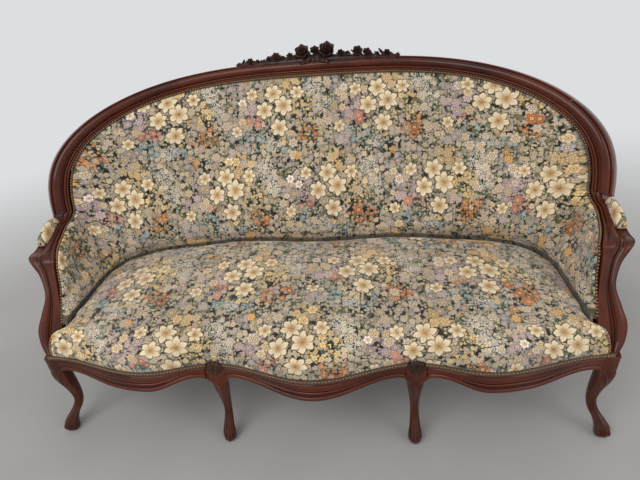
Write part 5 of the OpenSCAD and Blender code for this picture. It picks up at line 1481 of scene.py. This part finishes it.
def roses(spots):
    """Whorls of petals for each rose. Inner petals are short and stand up; outer ones are broad
    and lie back."""
    grids = []
    for count, share, wide, lean, up, first in whorls:
        turn = np.tile(np.arange(count) * 2 * np.pi / count + first, len(spots))
        x, radius, rise, forward, look_up = np.repeat(spots, count, 0).T
        centre, tilt = on_crest(x, rise, forward, look_up)
        centre = centre + tilt[:, 2] * (radius * up)[:, None]
        grids.append(placed(petal_form(8, 12, 0.42, 0.8), centre, turn, np.full(len(x), lean),
                            radius * share, radius * wide, tilt))
    x, radius, rise, forward, look_up = spots.T
    centre, tilt = on_crest(x, rise, forward, look_up)
    heart = petal_form(7, 10, 0.0, 0.62)
    heart[..., 2] *= 5.2
    grids.append(placed(heart, centre, 0 * x, np.full(len(x), 1.5), radius * 0.55, radius * 0.24,
                        tilt))
    return grids


def leaves(spots):
    """Leaves that lie along the crest, with edges that wave by a sine."""
    x, rise, forward, turn, length, wide, look_up = spots.T
    centre, tilt = on_crest(x, rise, forward, look_up)
    form = petal_form(11, 12, 0.28, 0.72)
    form[..., 1] *= 1 + 0.16 * np.sin(form[..., 0] * 34)
    return placed(form, centre, turn, np.full(len(x), 0.25), length, wide, tilt)


crest_half = 275
x = np.linspace(-crest_half, crest_half, 240)
i, u, n, wide = crest_place(x)
taper = np.sqrt(np.maximum(0.03, 1 - (np.abs(x) / crest_half) ** 4))
ripple = 1 + 0.14 * np.sin(x / 9.0) + 0.1 * np.sin(x / 4.1 + 1)
# The ground's section, from its back over the top and down its front: depth, rise, and lap
crest_share = [[-26, 0.01, 0], [-25.6, 0.5, 0], [-21, 0.88, 0], [-14, 1, 0], [-7, 0.93, 0],
               [-2, 0.66, 0], [1.4, 0.34, 0], [2.4, 0.12, 0], [3.4, 0, -0.3], [5.6, 0, -0.66],
               [7.8, 0, -0.9], [6.4, 0, -1.06], [1, 0, -1]]
deep, share, lap = through(crest_share, np.linspace(0, 12, 60)).T
crest_rise = taper * ripple * (8.5 + 6.5 * bell(x, 120) + 9 * bell(x, 30))
rise = crest_rise[:, None] * share + (10.5 * taper)[:, None] * lap
deep = (deep + 15) * taper[:, None] - 15
ground = i[:, None] + (wide[:, None] + rise)[..., None] * u[:, None] + deep[..., None] * n[:, None]
ground[..., 0] *= np.where(x < 0, -1, 1)[:, None]
ground = carve("crest_ground", ground, carved_mahogany)
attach(ground, "root")
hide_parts("crest_carving")
# Two crowded rows of leaves, one in front and one behind, at chance angles and lengths
rng = np.random.default_rng(11)
x = np.concatenate([np.linspace(-262, -16, 34), np.linspace(16, 268, 34)])
high = 1 + 0.9 * bell(x, 110)
leaf_rows = np.stack([
    x, rng.uniform(0, 11, 68) * high, rng.uniform(5, 10, 68),
    np.where(x < 0, np.pi, 0) + rng.uniform(-0.5, 0.5, 68), rng.uniform(15, 23, 68),
    rng.uniform(6.5, 9.5, 68), rng.uniform(-0.1, 0.6, 68)], 1)
back_rows = leaf_rows.copy()
back_rows[:, 2] = rng.uniform(-12, -4, 68)
back_rows[:, 6] = rng.uniform(1.2, 1.9, 68)
grids = roses(rose_rows) + [leaves(leaf_rows), leaves(back_rows), leaves(sweeps)]
flowers = grown("crest_roses_and_leaves", grids, carved_mahogany)
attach(flowers, "root")

# ---------------------------------------------------------------- Leg shells
# A small carved shell stands on the top of each inner leg. It is a ribbed half dome, glued on,
# and its rim laps over the braid and the lower edge of the seat's cover.

across = np.linspace(0, 1, 26)[:, None]
t = np.linspace(0, 2 * np.pi, 97)[:-1][None, :]
ribs = np.abs(np.cos(3.5 * (t - np.pi / 2))) ** 0.7
long = np.where(np.sin(t) > 0, 20.5 + 1.8 * ribs, 24.0)
shell_x = inner_leg_x + across * (25.5 + 1.5 * ribs) * np.cos(t)
shell_z = rebate_h - 9 + across * long * np.sin(t)
dome = (9.5 * np.sqrt(np.clip(1 - across ** 2.4, 0, 1))
        + 1.9 * ribs * ease(across / 0.25) * ease((1 - across) / 0.1) + 1.5)
dome = dome - 3.4 * bell(across - 0.82, 0.07) * (np.sin(t) > -0.1)
shell_rings = np.stack([shell_x, front_at(shell_x) - dome, shell_z], 2)
shell_rings = np.concatenate([shell_rings[1:], shell_rings[-1:] + [0, 7, 0]])
for side, word in ((-1, "left"), (1, "right")):
    shell = carve(word + "_leg_shell", flipped(shell_rings, side), carved_mahogany)
    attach(shell, "root")

# ---------------------------------------------------------------- Dust cover
# Thin black cloth is tacked under the seat frame, cut round the tops of the legs, and sags a
# little between its tacks.


def black_look(start):
    """Black cloth with fine lighter threads, under patches of grey dust."""
    place = start.at("UV")
    thread, dust = place.noise(900, 2).ramp(0.4, 0.7), place.noise(5, 3).ramp(0.45, 0.75)
    cloth = thread.pick((0.012, 0.012, 0.013), (0.03, 0.03, 0.031))
    return (dust * 0.5).pick(cloth, (0.075, 0.07, 0.062))


def black_relief(start):
    """Fine noise of the cloth's surface."""
    return start.at("UV").noise(700, 3)


def step_at(value, low, high):
    """0 outside low and high, and 1 from 5 mm inside them, by half a cosine wave."""
    return ease((value - low) / 5) * ease((high - value) / 5)


black_cloth = finish("black_cloth", black_look, 0.92, black_relief, bump_depth=0.0004,
                     bump_share=0.6)
x = np.linspace(-frame_x + 16, frame_x - 16, 420)
ax = np.abs(x)
front_edge = front_at(x) + 17
front_edge = mix(front_edge, np.maximum(front_edge, recess_y + inner_post_d + 5),
                 step_at(ax, inner_leg_x - 39, inner_leg_x + 39))
front_edge = mix(front_edge, np.maximum(front_edge, corner_y + corner_post + 6),
                 ease((ax - post_in + 12) / 6))
rear_edge = plan_y + frame_run * (1 - np.minimum(0.995, (ax + 6) / frame_x) ** 5) ** 0.2 - 16
rear_edge = mix(rear_edge, np.minimum(rear_edge, plan_y + frame_run - 40),
                step_at(ax, inner_leg_x - 30, inner_leg_x + 30))
rear_edge = mix(rear_edge, np.minimum(rear_edge, rear_at[1] - 38),
                ease((ax - rear_at[0] + 44) / 8))
rear_edge = np.maximum(rear_edge, front_edge + 40)
dust_long = (rear_edge - front_edge).max()
x, ax, front_edge, rear_edge = (a[:, None] for a in (x, ax, front_edge, rear_edge))
y = mix(front_edge, rear_edge, np.linspace(0, 1, 120)[None])
edge_far = np.minimum(np.minimum(y - front_edge, rear_edge - y), frame_x - 16 - ax)
waves = 1 + 0.25 * np.sin(x / 37 + y / 61) + 0.2 * np.sin(x / 91 - y / 23)
sag = 3.2 * (1 - np.exp(-edge_far / 60)) * waves
tacks = 0.7 * np.exp(-edge_far / 14) * np.sin(x / 7.5) * np.sin(y / 7.5)
dust = np.stack([np.broadcast_to(x, y.shape), y, web_h - 3.3 - sag + tacks], 2)
dust_cloth = carve("dust_cloth", dust[::-1], black_cloth, closed=False, smooth=180, worn=False)
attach(dust_cloth, "root")
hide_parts("dust_cover")
# The sag makes the cut 0.2 per cent wider and longer than the finished cloth lies
area_of(dust)
